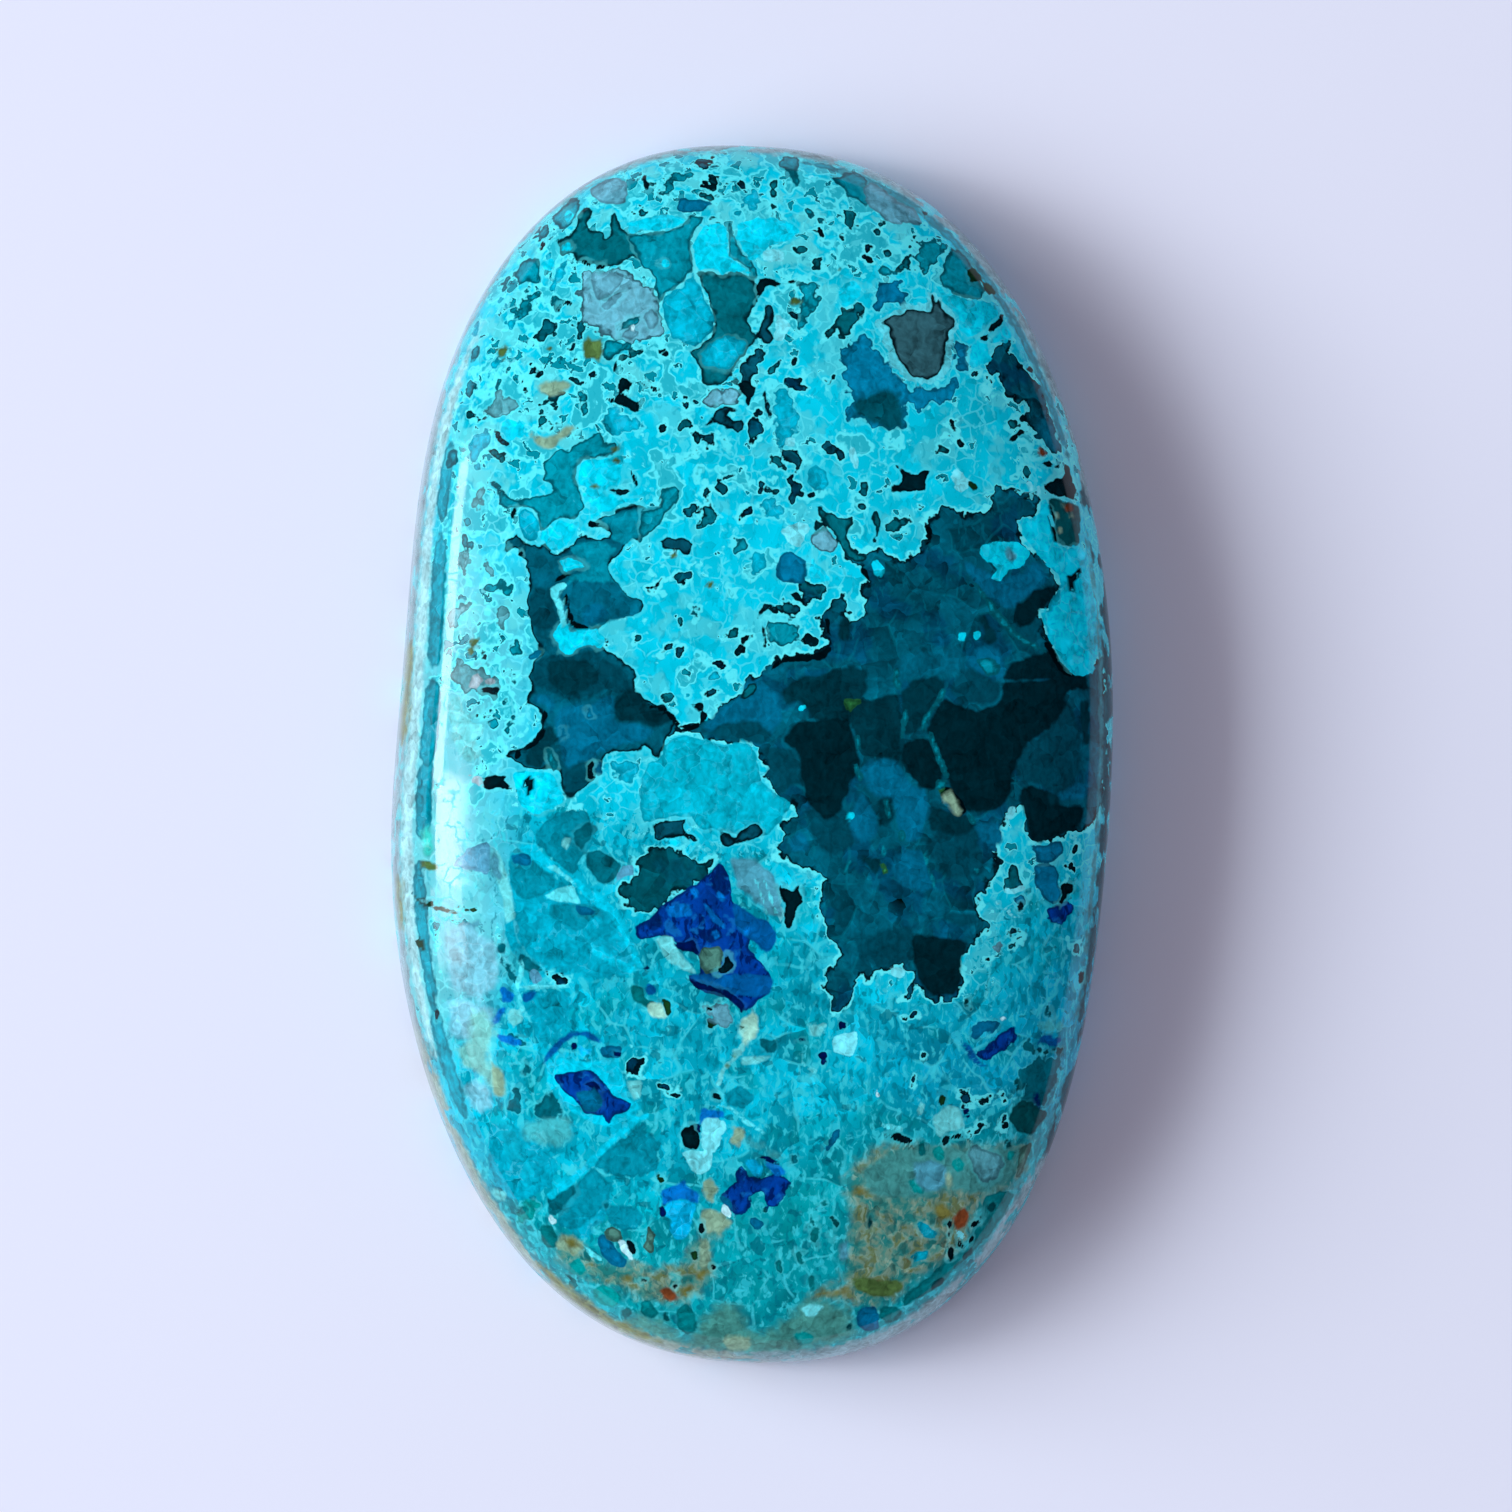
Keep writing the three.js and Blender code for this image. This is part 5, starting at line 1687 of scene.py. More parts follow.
def signed_distance(outline, column, row):
    """Pixels from each point to an outline, negative inside it."""
    start = rounded(outline)
    side = np.roll(start, -1, axis=0) - start
    drop = np.where(side[:, 1] == 0, 1, side[:, 1])  # no point passes a level side, whatever its drop
    gaps = []
    for first in range(0, len(column), CHUNK):
        across = column[first:first + CHUNK, None] - start[:, 0]
        down = row[first:first + CHUNK, None] - start[:, 1]
        along = np.clip((across * side[:, 0] + down * side[:, 1]) / (side ** 2).sum(axis=1), 0, 1)
        gap = np.hypot(across - along * side[:, 0], down - along * side[:, 1]).min(axis=1)
        passes = (down < 0) != (down < side[:, 1])
        inside = (passes & (across < down * side[:, 0] / drop)).sum(axis=1) % 2 == 1
        gaps.append(np.where(inside, -gap, gap))
    return np.concatenate(gaps)


def linear(colour):
    """An sRGB colour of 0 to 255 as the linear values that the renderer mixes."""
    share = np.array(colour, dtype=float) / 255
    return np.where(share <= 0.04045, share / 12.92, ((share + 0.055) / 1.055) ** 2.4)


def band_outline(band):
    """The outline of a band, which follows the rim."""
    outline = girdle_outline()
    column, row = pixels_of(np.column_stack([outline, np.full(len(outline), GIRDLE_TOP)]))
    bearing = np.degrees(np.arctan2(column - STONE_PIXEL[0], STONE_PIXEL[1] - row)) % 360
    order = np.argsort(bearing)
    reach = np.hypot(column - STONE_PIXEL[0], STONE_PIXEL[1] - row)[order]
    length = band.last - band.first
    turn = np.linspace(band.first, band.last, 2 + round(length / BAND_STEP))
    rim = np.interp(turn, bearing[order], reach, period=360)
    from_end = np.minimum(turn - band.first, band.last - turn) / min(BAND_TAPER, SHORT_TAPER * length)
    half = (band.inner - band.outer) / 2 * np.sqrt(np.clip(from_end, BLUNT_END, 1))
    middle = rim - (band.inner + band.outer) / 2
    radius = np.concatenate([middle + half, (middle - half)[::-1]])
    turn = np.radians(np.concatenate([turn, turn[::-1]]))
    return list(zip(STONE_PIXEL[0] + radius * np.sin(turn), STONE_PIXEL[1] - radius * np.cos(turn)))


def mark_outlines():
    """Every patch's kind and outline, from the lowest to the topmost."""
    for kind in MINERALS:
        for region in REGIONS:
            for outline in region.get(kind, []):
                yield kind, outline
        for band in RIM_BANDS:
            if band.kind == kind:
                yield kind, band_outline(band)


def fade_below(kind):
    """How fast patches of a kind end below the rim that the camera sees."""
    if kind.endswith("zone"):
        return ZONE_FADE_BELOW
    if kind.startswith("rim"):
        return BAND_FADE_BELOW
    return PATCH_FADE_BELOW


def paint_layers(column, row, beyond):
    """Sorts the patches into layers in which none covers another. Each layer gives every point its
    distance from the nearest patch, and that patch's colour, rim, edge and softness. The more of a
    patch is broken into gaps, the further its edge's strength lies below 0."""
    distance = np.full((LAYERS, len(column)), FAR)
    looks = np.zeros((LAYERS, len(column), 6))  # the colour's three parts, rim, edge and softness
    for kind, outline in mark_outlines():
        mineral = MINERALS[kind]
        corners = np.array(outline)
        low = corners.min(axis=0) - FAR
        high = corners.max(axis=0) + FAR
        near = np.flatnonzero((column > low[0]) & (column < high[0]) & (row > low[1]) & (row < high[1]))
        if not len(near):
            continue
        gap = signed_distance(outline, column[near], row[near]) + beyond[near] * fade_below(kind)
        close = near[gap < APART]
        covered = [layer for layer in range(LAYERS) if (distance[layer, close] < APART).any()]
        layer = min(max(covered, default=-1) + 1, LAYERS - 1)
        nearer = (gap < distance[layer, near]) | (gap < 0)
        chosen = near[nearer]
        distance[layer, chosen] = gap[nearer]
        looks[layer, chosen, :3] = linear(mineral.colour)
        rim = mineral.rim * (COVERED_RIM if covered else 1)
        looks[layer, chosen, 3:] = (rim, mineral.edge - mineral.broken_up, mineral.softness)
    return distance, looks


def paint_ground(column, row):
    """The colour of the ground and how glassy it is."""
    painted = np.tile(np.append(linear(CRUST_COLOUR), 0.0), (len(column), 1))
    for ground in GROUNDS:
        gap = signed_distance(ground.outline, column, row)
        share = np.clip(0.5 - gap / (2 * GROUND_FADE), 0, 1)
        share = (share * share * (3 - 2 * share))[:, None]
        painted += (np.append(linear(ground.colour), ground.glassy) - painted) * share
    return painted


# ---- The stone's form ---------------------------------------------------------------------------

HALF_WIDTH = 11.8 * MM
HALF_LENGTH = 20.05 * MM
GIRDLE_SQUARENESS = 2.33  # 2 is an ellipse


class Wave(NamedTuple):
    """A shallow swelling of the stone."""
    share: float  # of the radius
    count: int  # how many go round the stone
    turn: float  # radians


GIRDLE_LOBES = (
    Wave(0.003, 1, 2.0),
    Wave(0.004, 2, -0.5),
    Wave(0.005, 3, 2.4),
    Wave(0.011, 4, -0.2),
    Wave(0.0024, 5, 2.6),
    Wave(0.0024, 6, 1.2),
)
GRINDING_WAVES = (
    Wave(0.0035, 3, 0.6),
    Wave(0.0022, 5, 2.1),
    Wave(0.0012, 9, 4.0),
)
BEVEL_IN = 0.45 * MM
BEVEL_TOP = 0.45 * MM
GIRDLE_TOP = 0.85 * MM
DOME_PLAN = 2.5  # the section is a superellipse with these exponents, inwards
DOME_RISE = 2.9  # and upwards
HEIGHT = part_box("stone")[1].z

CELLS_ACROSS = 224  # squares of the dome's mesh from side to side
CELLS_ALONG = 384  # and from end to end
AROUND = 2 * (CELLS_ACROSS + CELLS_ALONG)  # points round the girdle
WALL_RINGS = 2
BEVEL_RINGS = 5
RINGS = WALL_RINGS + BEVEL_RINGS + 1  # the last is a flat one inside the base's edge
BASE_RIM = 0.15 * MM  # its width
OUTLINE_SAMPLES = 20 * AROUND
PROFILE_SAMPLES = 4000
WALL_WEIGHT = 0.5  # how much of the mesh the steep wall gets, against the low top
SIDE_STEP = 0.5  # steps over the dome by which its normals are measured: round the girdle
DOWN_STEP = 0.001  # and down the section
TINY = 1e-9  # keeps the grid's middle from being divided by 0
NO_LENGTH = 1e-14  # a normal shorter than this has no direction


def swell(waves, bearing):
    return sum(wave.share * np.sin(wave.count * bearing + wave.turn) for wave in waves)


def girdle_outline():
    """AROUND evenly spaced points round the girdle, anticlockwise from the +X side."""
    bearing = np.linspace(0, 2 * np.pi, OUTLINE_SAMPLES, endpoint=False)
    across = np.abs(np.cos(bearing) / HALF_WIDTH) ** GIRDLE_SQUARENESS
    along = np.abs(np.sin(bearing) / HALF_LENGTH) ** GIRDLE_SQUARENESS
    radius = (across + along) ** (-1 / GIRDLE_SQUARENESS) * (1 + swell(GIRDLE_LOBES, bearing))
    outline = np.stack([radius * np.cos(bearing), radius * np.sin(bearing)], axis=1)
    outline -= (outline.min(axis=0) + outline.max(axis=0)) / 2
    closed = np.vstack([outline, outline[:1]])
    travelled = np.concatenate([[0], np.cumsum(np.hypot(*np.diff(closed, axis=0).T))])
    wanted = np.arange(AROUND) / AROUND * travelled[-1]
    x = np.interp(wanted, travelled, closed[:, 0])
    y = np.interp(wanted, travelled, closed[:, 1])
    return np.stack([x, y], axis=1)


def dome_profile():
    """The dome's section from the top down: even steps of it, and at each the share of the girdle
    that is kept, the height and the section's angle."""
    angle = np.linspace(np.pi / 2, 0, PROFILE_SAMPLES)
    share = np.maximum(np.cos(angle), 0) ** (2 / DOME_PLAN)
    height = GIRDLE_TOP + (HEIGHT - GIRDLE_TOP) * np.sin(angle) ** (2 / DOME_RISE)
    reach = math.sqrt(HALF_WIDTH * HALF_LENGTH)
    steps = np.hypot(np.diff(share) * reach, np.diff(height) * WALL_WEIGHT)
    travelled = np.concatenate([[0], np.cumsum(steps)])
    return travelled / travelled[-1], share, height, angle


def dome_points(outline, profile, around, down):
    """Points of the dome at steps `around` the girdle and, from 0 at the top to 1, `down` it."""
    steps_around = np.arange(AROUND + 1)
    closed = np.vstack([outline, outline[:1]])
    x = np.interp(around, steps_around, closed[:, 0], period=AROUND)
    y = np.interp(around, steps_around, closed[:, 1], period=AROUND)
    steps_down, shares, heights, angles = profile
    share = np.interp(down, steps_down, shares)
    angle = np.interp(down, steps_down, angles)
    height = np.interp(down, steps_down, heights)
    ground = 1 + np.sin(2 * angle) * swell(GRINDING_WAVES, np.arctan2(y, x))
    return np.stack([x * share * ground, y * share * ground, height], axis=-1)


def grid_places():
    """Lays a rectangular grid on the dome: the outer squares follow the girdle, the inner ones the
    shrunken girdle, so that no squares crowd at the top."""
    steps_across = np.linspace(-1, 1, CELLS_ACROSS + 1)
    steps_along = np.linspace(-1, 1, CELLS_ALONG + 1)
    across, along = np.meshgrid(steps_across, steps_along, indexing="ij")
    down = np.maximum(np.abs(across), np.abs(along))
    across = across / np.maximum(down, TINY)
    along = along / np.maximum(down, TINY)
    half_along = CELLS_ALONG / 2
    half_across = CELLS_ACROSS / 2
    right = along * half_along
    top = half_along + (1 - across) * half_across
    left = half_along + CELLS_ACROSS + (1 - along) * half_along
    bottom = 3 * half_along + CELLS_ACROSS + (1 + across) * half_across
    on_side = np.abs(across) >= np.abs(along)
    around = np.where(on_side, np.where(across > 0, right, left), np.where(along > 0, top, bottom))
    return np.mod(around, AROUND), down


def facing(outline, profile, around, down):
    """Unit normals of the dome, from small steps over its surface."""
    sideways = dome_points(outline, profile, np.mod(around + SIDE_STEP, AROUND), down)
    sideways -= dome_points(outline, profile, np.mod(around - SIDE_STEP, AROUND), down)
    lower = np.minimum(down + DOWN_STEP, 1)
    downward = dome_points(outline, profile, around, lower)
    downward -= dome_points(outline, profile, around, lower - 2 * DOWN_STEP)
    normal = np.cross(downward, sideways)
    length = np.linalg.norm(normal, axis=-1, keepdims=True)
    upright = np.broadcast_to([0.0, 0.0, 1.0], normal.shape)
    return np.where(length > NO_LENGTH, normal / np.maximum(length, NO_LENGTH), upright)


def below_the_dome(outline):
    """The points and the normals of the rings under the dome, from the top down."""
    ahead = np.roll(outline, -1, axis=0) - np.roll(outline, 1, axis=0)
    outward = np.stack([ahead[:, 1], -ahead[:, 0]], axis=1)
    outward /= np.linalg.norm(outward, axis=1, keepdims=True)
    radius = np.linalg.norm(outline, axis=1, keepdims=True)
    levels = []
    for step in range(1, WALL_RINGS + 1):
        levels.append((GIRDLE_TOP + (BEVEL_TOP - GIRDLE_TOP) * step / WALL_RINGS, 0.0, math.pi / 2))
    for step in range(1, BEVEL_RINGS + 1):
        angle = math.pi / 2 * (1 - step / BEVEL_RINGS)
        levels.append((BEVEL_TOP * (1 - math.cos(angle)), BEVEL_IN * (1 - math.sin(angle)), angle))
    levels.append((0.0, BEVEL_IN + BASE_RIM, 0.0))
    points = []
    normals = []
    for height, drawn_in, angle in levels:
        points.append(np.column_stack([outline * (1 - drawn_in / radius), np.full(AROUND, height)]))
        normals.append(np.column_stack([outward * math.sin(angle), np.full(AROUND, -math.cos(angle))]))
    return np.concatenate(points), np.concatenate(normals)


def skin_faces(index):
    """The faces of the dome's grid, of the rings below it and of the flat base."""
    corners = [index[:-1, :-1], index[1:, :-1], index[1:, 1:], index[:-1, 1:]]
    faces = np.stack(corners, axis=-1).reshape(-1, 4).tolist()
    edge = np.concatenate([index[-1, :-1], index[:0:-1, -1], index[0, :0:-1], index[:-1, 0]])
    ring = np.roll(edge, -(CELLS_ALONG // 2))  # from the +X side, like the girdle's outline
    for step in range(RINGS):
        lower = index.size + step * AROUND + np.arange(AROUND)
        corners = [ring, lower, np.roll(lower, -1), np.roll(ring, -1)]
        faces += np.stack(corners, axis=1).tolist()
        ring = lower
    faces.append(ring[::-1].tolist())
    return faces


RIM_SAMPLES = 80  # down the dome, where the last point that the camera sees is looked for
RIM_FROM = 0.4  # the highest of them
# Painted light and shade: the colours are made darker on the flank that faces the window and
# lighter on the far flank. The stone lets light through, so the flank by the window is less bright
# and the far one less dark than an opaque stone's would be. These factors on its colours stand in
# for that.
FLANK_PAINT_STRENGTH = 0.85
FLANK_PAINT_RANGE = (0.50, 1.45)


def seen_pixels(points, normals, around, outline, profile):
    """Where each point appears in the photograph. A point that the camera doesn't see takes the place
    of the last seen point above it, and how many pixels of stone lie between the two."""
    camera = np.array(camera_axes()[0])
    samples = np.linspace(RIM_FROM, 1, RIM_SAMPLES)
    around_grid, down_grid = np.meshgrid(np.arange(AROUND), samples, indexing="ij")
    spots = dome_points(outline, profile, around_grid, down_grid)
    faced = ((camera - spots) * facing(outline, profile, around_grid, down_grid)).sum(axis=-1) > 0
    last = RIM_SAMPLES - 1 - np.argmax(faced[:, ::-1], axis=1)
    rim = spots[np.arange(AROUND), last][np.rint(around).astype(int) % AROUND]
    hidden = ((camera - points) * normals).sum(axis=1) <= 0
    column, row = pixels_of(np.where(hidden[:, None], rim, points))
    beyond = np.where(hidden, np.linalg.norm(points - rim, axis=1) * PIXELS_PER_MM / MM, 0)
    return column, row, beyond


def store(mesh, name, kind, values):
    attribute = mesh.attributes.new(name, kind, "POINT")
    attribute.data.foreach_set("color" if kind == "FLOAT_COLOR" else "vector", values.ravel())


def store_paint(mesh, normals, column, row, beyond):
    """Keeps the ground and the layers of patches on the mesh, for the material to read."""
    # painted light and shade: below 1 on the flank that faces the window, above 1 on the far flank
    painted_flank_light_and_shade = np.clip(1 / (1 - FLANK_PAINT_STRENGTH * normals[:, 0]), *FLANK_PAINT_RANGE)
    store(mesh, "painted_flank_light_and_shade", "FLOAT_VECTOR", np.repeat(painted_flank_light_and_shade[:, None], 3, axis=1))
    store(mesh, "ground", "FLOAT_COLOR", paint_ground(column, row))
    distance, looks = paint_layers(column, row, beyond)
    for layer in range(LAYERS):
        rim, edge, softness = looks[layer, :, 3:].T
        colours = np.column_stack([looks[layer, :, :3], softness])
        store(mesh, f"layer {layer} colour", "FLOAT_COLOR", colours)
        store(mesh, f"layer {layer} form", "FLOAT_VECTOR", np.column_stack([distance[layer], rim, edge]))


def make_stone():
    """The polished skin as one closed mesh."""
    outline = girdle_outline()
    profile = dome_profile()
    around, down = grid_places()
    ring_points, ring_normals = below_the_dome(outline)
    points = np.concatenate([dome_points(outline, profile, around, down).reshape(-1, 3), ring_points])
    normals = np.concatenate([facing(outline, profile, around, down).reshape(-1, 3), ring_normals])
    faces = skin_faces(np.arange(around.size).reshape(around.shape))
    around = np.concatenate([around.ravel(), np.tile(np.arange(AROUND), RINGS)])
    mesh = bpy.data.meshes.new("stone_polished")
    mesh.from_pydata(points.tolist(), [], faces)
    mesh.validate()
    mesh.shade_smooth()
    mesh.normals_split_custom_set_from_vertices(normals.tolist())
    store_paint(mesh, normals, *seen_pixels(points, normals, around, outline, profile))
    stone = bpy.data.objects.new("stone_polished", mesh)
    bpy.context.scene.collection.objects.link(stone)
    return stone


# ---- Materials ----------------------------------------------------------------------------------

MEAN = 0.5  # of noise and of anything else that goes from 0 to 1
MEAN_COLOUR = (MEAN, MEAN, MEAN)


class Shading:
    """Short calls for building the nodes of one material. Values are sockets or plain numbers."""

    def __init__(self, name):
        self.material = bpy.data.materials.new(name)
        self.material.use_nodes = True
        self.tree = self.material.node_tree
        self.shader = self.tree.nodes["Principled BSDF"]

    def node(self, kind, inputs=None, **settings):
        node = self.tree.nodes.new(kind)
        for name, value in settings.items():
            setattr(node, name, value)
        for socket, value in (inputs or {}).items():
            self.feed(node.inputs[socket], value)
        return node

    def feed(self, socket, value):
        if isinstance(value, bpy.types.NodeSocket):
            self.tree.links.new(value, socket)
        else:
            socket.default_value = value

    def math(self, operation, first, second):
        return self.node("ShaderNodeMath", {0: first, 1: second}, operation=operation).outputs[0]

    def add(self, first, second):
        return self.math("ADD", first, second)

    def subtract(self, first, second):
        return self.math("SUBTRACT", first, second)

    def multiply(self, first, second):
        return self.math("MULTIPLY", first, second)

    def vector(self, operation, inputs):
        return self.node("ShaderNodeVectorMath", inputs, operation=operation).outputs

    def slope(self, value, low, high, start=0.0, end=1.0):
        """Goes smoothly from `start` to `end` while the value goes from `low` to `high`."""
        inputs = {"Value": value, 1: low, 2: high, 3: start, 4: end}
        return self.node("ShaderNodeMapRange", inputs, interpolation_type="SMOOTHSTEP").outputs[0]

    def blend(self, share, first, second, blend_type="MIX"):
        # inputs 6 and 7 and output 2 of this node are the ones for colours
        inputs = {0: share, 6: first, 7: second}
        return self.node("ShaderNodeMix", inputs, data_type="RGBA", blend_type=blend_type).outputs[2]

    def over(self, tone, tint, level, none, full, share=1.0):
        """Lays a tint over a tone: none of it where the level is at `none`, and this share of it
        where the level is at `full`."""
        return self.blend(self.slope(level, none, full, 0.0, share), tone, tint)

    def shaded(self, tone, level, contrast):
        """Makes a tone lighter and darker with a level that goes up and down round 0."""
        factor = self.add(1.0, self.multiply(level, contrast))
        grey = self.node("ShaderNodeCombineColor", {0: factor, 1: factor, 2: factor}).outputs[0]
        return self.blend(1.0, tone, grey, "MULTIPLY")

    def parts(self, tint):
        """The red, green and blue of a colour."""
        return self.node("ShaderNodeSeparateColor", {"Color": tint}).outputs

    def noise(self, place, size, detail=2.0, distortion=0.0):
        """Noise from 0 to 1 with lumps of this size, in millimetres."""
        inputs = {"Vector": place, "Scale": 1 / size, "Detail": detail, "Distortion": distortion}
        return self.node("ShaderNodeTexNoise", inputs).outputs["Fac"]

    def cells(self, place, size, feature="F1"):
        """Voronoi cells of this size, in millimetres: the distance, in cells, to their middles or
        their edges."""
        inputs = {"Vector": place, "Scale": 1 / size}
        return self.node("ShaderNodeTexVoronoi", inputs, feature=feature).outputs["Distance"]

    def seam(self, place, size, width):
        """1 on the borders between cells, and 0 beyond this share of a cell."""
        return self.slope(self.cells(place, size, "DISTANCE_TO_EDGE"), width, width / 4)

    def faces(self, place, size):
        """From about -1 to 1: every cell has its own tone and shades from one side to the other."""
        cell = self.node("ShaderNodeTexVoronoi", {"Vector": place, "Scale": 1 / size}).outputs
        aside = self.vector("SUBTRACT", {0: place, 1: cell["Position"]})[0]
        turn = self.vector("SUBTRACT", {0: cell["Color"], 1: MEAN_COLOUR})[0]
        lean = self.vector("DOT_PRODUCT", {0: aside, 1: turn})["Value"]
        own = self.subtract(self.parts(cell["Color"])[0], MEAN)
        return self.add(own, self.multiply(lean, 2 / size))

    def stretched(self, place, turn, share):
        """Places turned by this angle and squeezed to this share along y, which draws noise out."""
        inputs = {"Vector": place, "Rotation": (0.0, 0.0, turn), "Scale": (1.0, share, 1.0)}
        return self.node("ShaderNodeMapping", inputs).outputs[0]

    def warped(self, place, size, reach):
        """Places shifted by up to about half of `reach`, so that straight lines bend."""
        inputs = {"Vector": place, "Scale": 1 / size, "Detail": 1.0}
        noise = self.node("ShaderNodeTexNoise", inputs).outputs["Color"]
        shift = self.vector("SUBTRACT", {0: noise, 1: MEAN_COLOUR})[0]
        return self.vector("MULTIPLY_ADD", {0: shift, 1: (reach, reach, reach), 2: place})[0]

    def place_in_mm(self):
        where = self.node("ShaderNodeTexCoord").outputs["Object"]
        return self.vector("SCALE", {0: where, "Scale": 1 / MM})[0]

    def attribute(self, name):
        return self.node("ShaderNodeAttribute", attribute_name=name).outputs


def colour(*levels):
    """An sRGB colour of 0 to 255 as the shader takes it."""
    return (*linear(levels), 1)


PALE_LINE = colour(96, 246, 254)
DARK_LINE = colour(0, 15, 22)
MILK = colour(96, 218, 222)
CRUST_VEIN = colour(0, 168, 188)
CRUST_GROOVE = colour(0, 160, 184)
POOL_EDGE = colour(0, 84, 100)
POOL = colour(0, 142, 160)
GLASS_GREEN = colour(0, 152, 156)
GLASS_FIBRE = colour(56, 212, 226)
GLASS_GROOVE = colour(0, 112, 130)
GLASS_CRACK = colour(60, 214, 228)
GLASS_VEIN = colour(40, 214, 232)
GLASS_FLECK = colour(0, 92, 110)
STAIN_GREEN = colour(24, 122, 120)
STAIN_GREY = colour(78, 142, 130)
STAIN_TAN = colour(118, 150, 130)
STAIN_OLIVE = colour(104, 122, 78)
STAIN_BROWN = colour(100, 90, 46)
STAIN_FIBRE = colour(150, 182, 160)
STAIN_GROOVE = colour(30, 92, 88)
DEEP_BLUE = colour(0, 66, 100)
DEEP_FIBRE = colour(0, 104, 124)
DEEP_CRACK = colour(0, 128, 148)
NAVY_STREAK = colour(0, 20, 82)
AZURITE_GRAIN = colour(14, 112, 192)

# sizes of the patterns, in millimetres
BROAD_FACE = 1.5
FINE_FACE = 0.55
BROAD_BEND = 1.0
FINE_BEND = 0.35
CLOUD = 0.9
DRIFT = 1.3
LUMP = 0.5
FIBRE = 0.2
SWIRL = 0.34
FIBRE_STRETCH = 0.4
FIBRE_LEAN = math.radians(14)


def shared_patterns(shade, place):
    """The patterns from which all the fabrics are made, by name."""
    bent = shade.warped(place, BROAD_BEND, reach=0.55)
    small = shade.warped(place, FINE_BEND, reach=0.28)
    come_and_go = shade.slope(shade.noise(place, CLOUD, detail=1.0), 0.45, 0.58)
    return {
        "broad faces": shade.faces(bent, BROAD_FACE),
        "fine faces": shade.faces(small, FINE_FACE),
        "broad cracks": shade.multiply(shade.seam(bent, BROAD_FACE, width=0.04), come_and_go),
        "fine cracks": shade.multiply(shade.seam(small, FINE_FACE, width=0.08), come_and_go),
        "drift": shade.noise(small, DRIFT, detail=3.0),
        "lumps": shade.noise(small, LUMP, detail=3.0),
        "fibres": shade.noise(shade.stretched(small, FIBRE_LEAN, FIBRE_STRETCH), FIBRE),
        "swirl": shade.subtract(shade.noise(place, SWIRL, detail=3.0, distortion=1.4), MEAN),
    }


def fabric_of_crust(shade, pattern, ground):
    """The bright crust: flat lumps with milky stretches, and small pools with pale rims where it's
    crowded."""
    crowded = shade.slope(ground["Alpha"], 0.0, -0.8)
    tone = shade.shaded(ground["Color"], pattern["fine faces"], contrast=0.15)
    tone = shade.shaded(tone, pattern["broad faces"], contrast=0.15)
    milky = shade.slope(pattern["drift"], 0.47, 0.40)
    milky = shade.multiply(milky, shade.slope(crowded, 0.0, 1.0, 0.4, 0.7))
    tone = shade.blend(milky, tone, MILK)
    vein = shade.add(pattern["drift"], shade.multiply(crowded, 0.12))
    tone = shade.over(tone, PALE_LINE, vein, none=0.615, full=0.640, share=0.8)
    tone = shade.over(tone, CRUST_VEIN, vein, none=0.655, full=0.672, share=0.8)
    tone = shade.over(tone, PALE_LINE, pattern["fibres"], none=0.58, full=0.68, share=0.35)
    tone = shade.over(tone, CRUST_GROOVE, pattern["fibres"], none=0.40, full=0.33, share=0.4)
    tone = shade.blend(shade.multiply(pattern["fine cracks"], 0.35), tone, PALE_LINE)
    pool = shade.add(pattern["lumps"], shade.slope(crowded, 0.0, 1.0, -0.04, 0.03))
    tone = shade.over(tone, PALE_LINE, pool, none=0.600, full=0.630, share=0.85)
    tone = shade.over(tone, POOL_EDGE, pool, none=0.645, full=0.655)
    return shade.over(tone, POOL, pool, none=0.660, full=0.682)


def fabric_of_glass(shade, pattern, ground):
    """The glassy ground: crystals that shade from side to side, with pale veins, fibres and flecks."""
    tone = shade.shaded(ground["Color"], pattern["broad faces"], contrast=0.34)
    tone = shade.shaded(tone, pattern["fine faces"], contrast=0.30)
    green = shade.shaded(GLASS_GREEN, pattern["fine faces"], contrast=0.34)
    tone = shade.over(tone, green, pattern["drift"], none=0.52, full=0.64, share=0.4)
    tone = shade.over(tone, GLASS_FIBRE, pattern["fibres"], none=0.54, full=0.66, share=0.7)
    tone = shade.over(tone, GLASS_GROOVE, pattern["fibres"], none=0.45, full=0.35, share=0.6)
    tone = shade.blend(shade.multiply(pattern["broad cracks"], 0.6), tone, GLASS_CRACK)
    tone = shade.over(tone, GLASS_VEIN, pattern["lumps"], none=0.60, full=0.68, share=0.5)
    return shade.over(tone, GLASS_FLECK, pattern["lumps"], none=0.38, full=0.34, share=0.6)


def fabric_of_ochre(shade, pattern):
    """Iron-stained ground: grey-green with tan and olive clouds, pale fibres and a few brown specks."""
    tone = shade.over(STAIN_GREEN, STAIN_GREY, pattern["lumps"], none=0.38, full=0.48)
    tone = shade.over(tone, STAIN_TAN, pattern["lumps"], none=0.47, full=0.55)
    tone = shade.over(tone, STAIN_OLIVE, pattern["lumps"], none=0.55, full=0.62)
    tone = shade.over(tone, STAIN_BROWN, pattern["lumps"], none=0.66, full=0.72)
    tone = shade.over(tone, STAIN_FIBRE, pattern["fibres"], none=0.56, full=0.68, share=0.6)
    tone = shade.over(tone, STAIN_GROOVE, pattern["fibres"], none=0.44, full=0.35, share=0.6)
    return shade.shaded(tone, pattern["fine faces"], contrast=0.26)


def fabric_of_deep(shade, pattern, base):
    """The dark fields: large and small crystal faces, clouded, with thin light cracks."""
    tone = shade.shaded(base, pattern["broad faces"], contrast=0.5)
    tone = shade.shaded(tone, pattern["fine faces"], contrast=0.45)
    blue = shade.shaded(DEEP_BLUE, pattern["fine faces"], contrast=0.6)
    tone = shade.over(tone, blue, pattern["drift"], none=0.50, full=0.60, share=0.6)
    tone = shade.shaded(tone, pattern["swirl"], contrast=1.4)
    tone = shade.over(tone, DEEP_FIBRE, pattern["fibres"], none=0.60, full=0.70, share=0.5)
    return shade.blend(shade.multiply(pattern["broad cracks"], 0.3), tone, DEEP_CRACK)


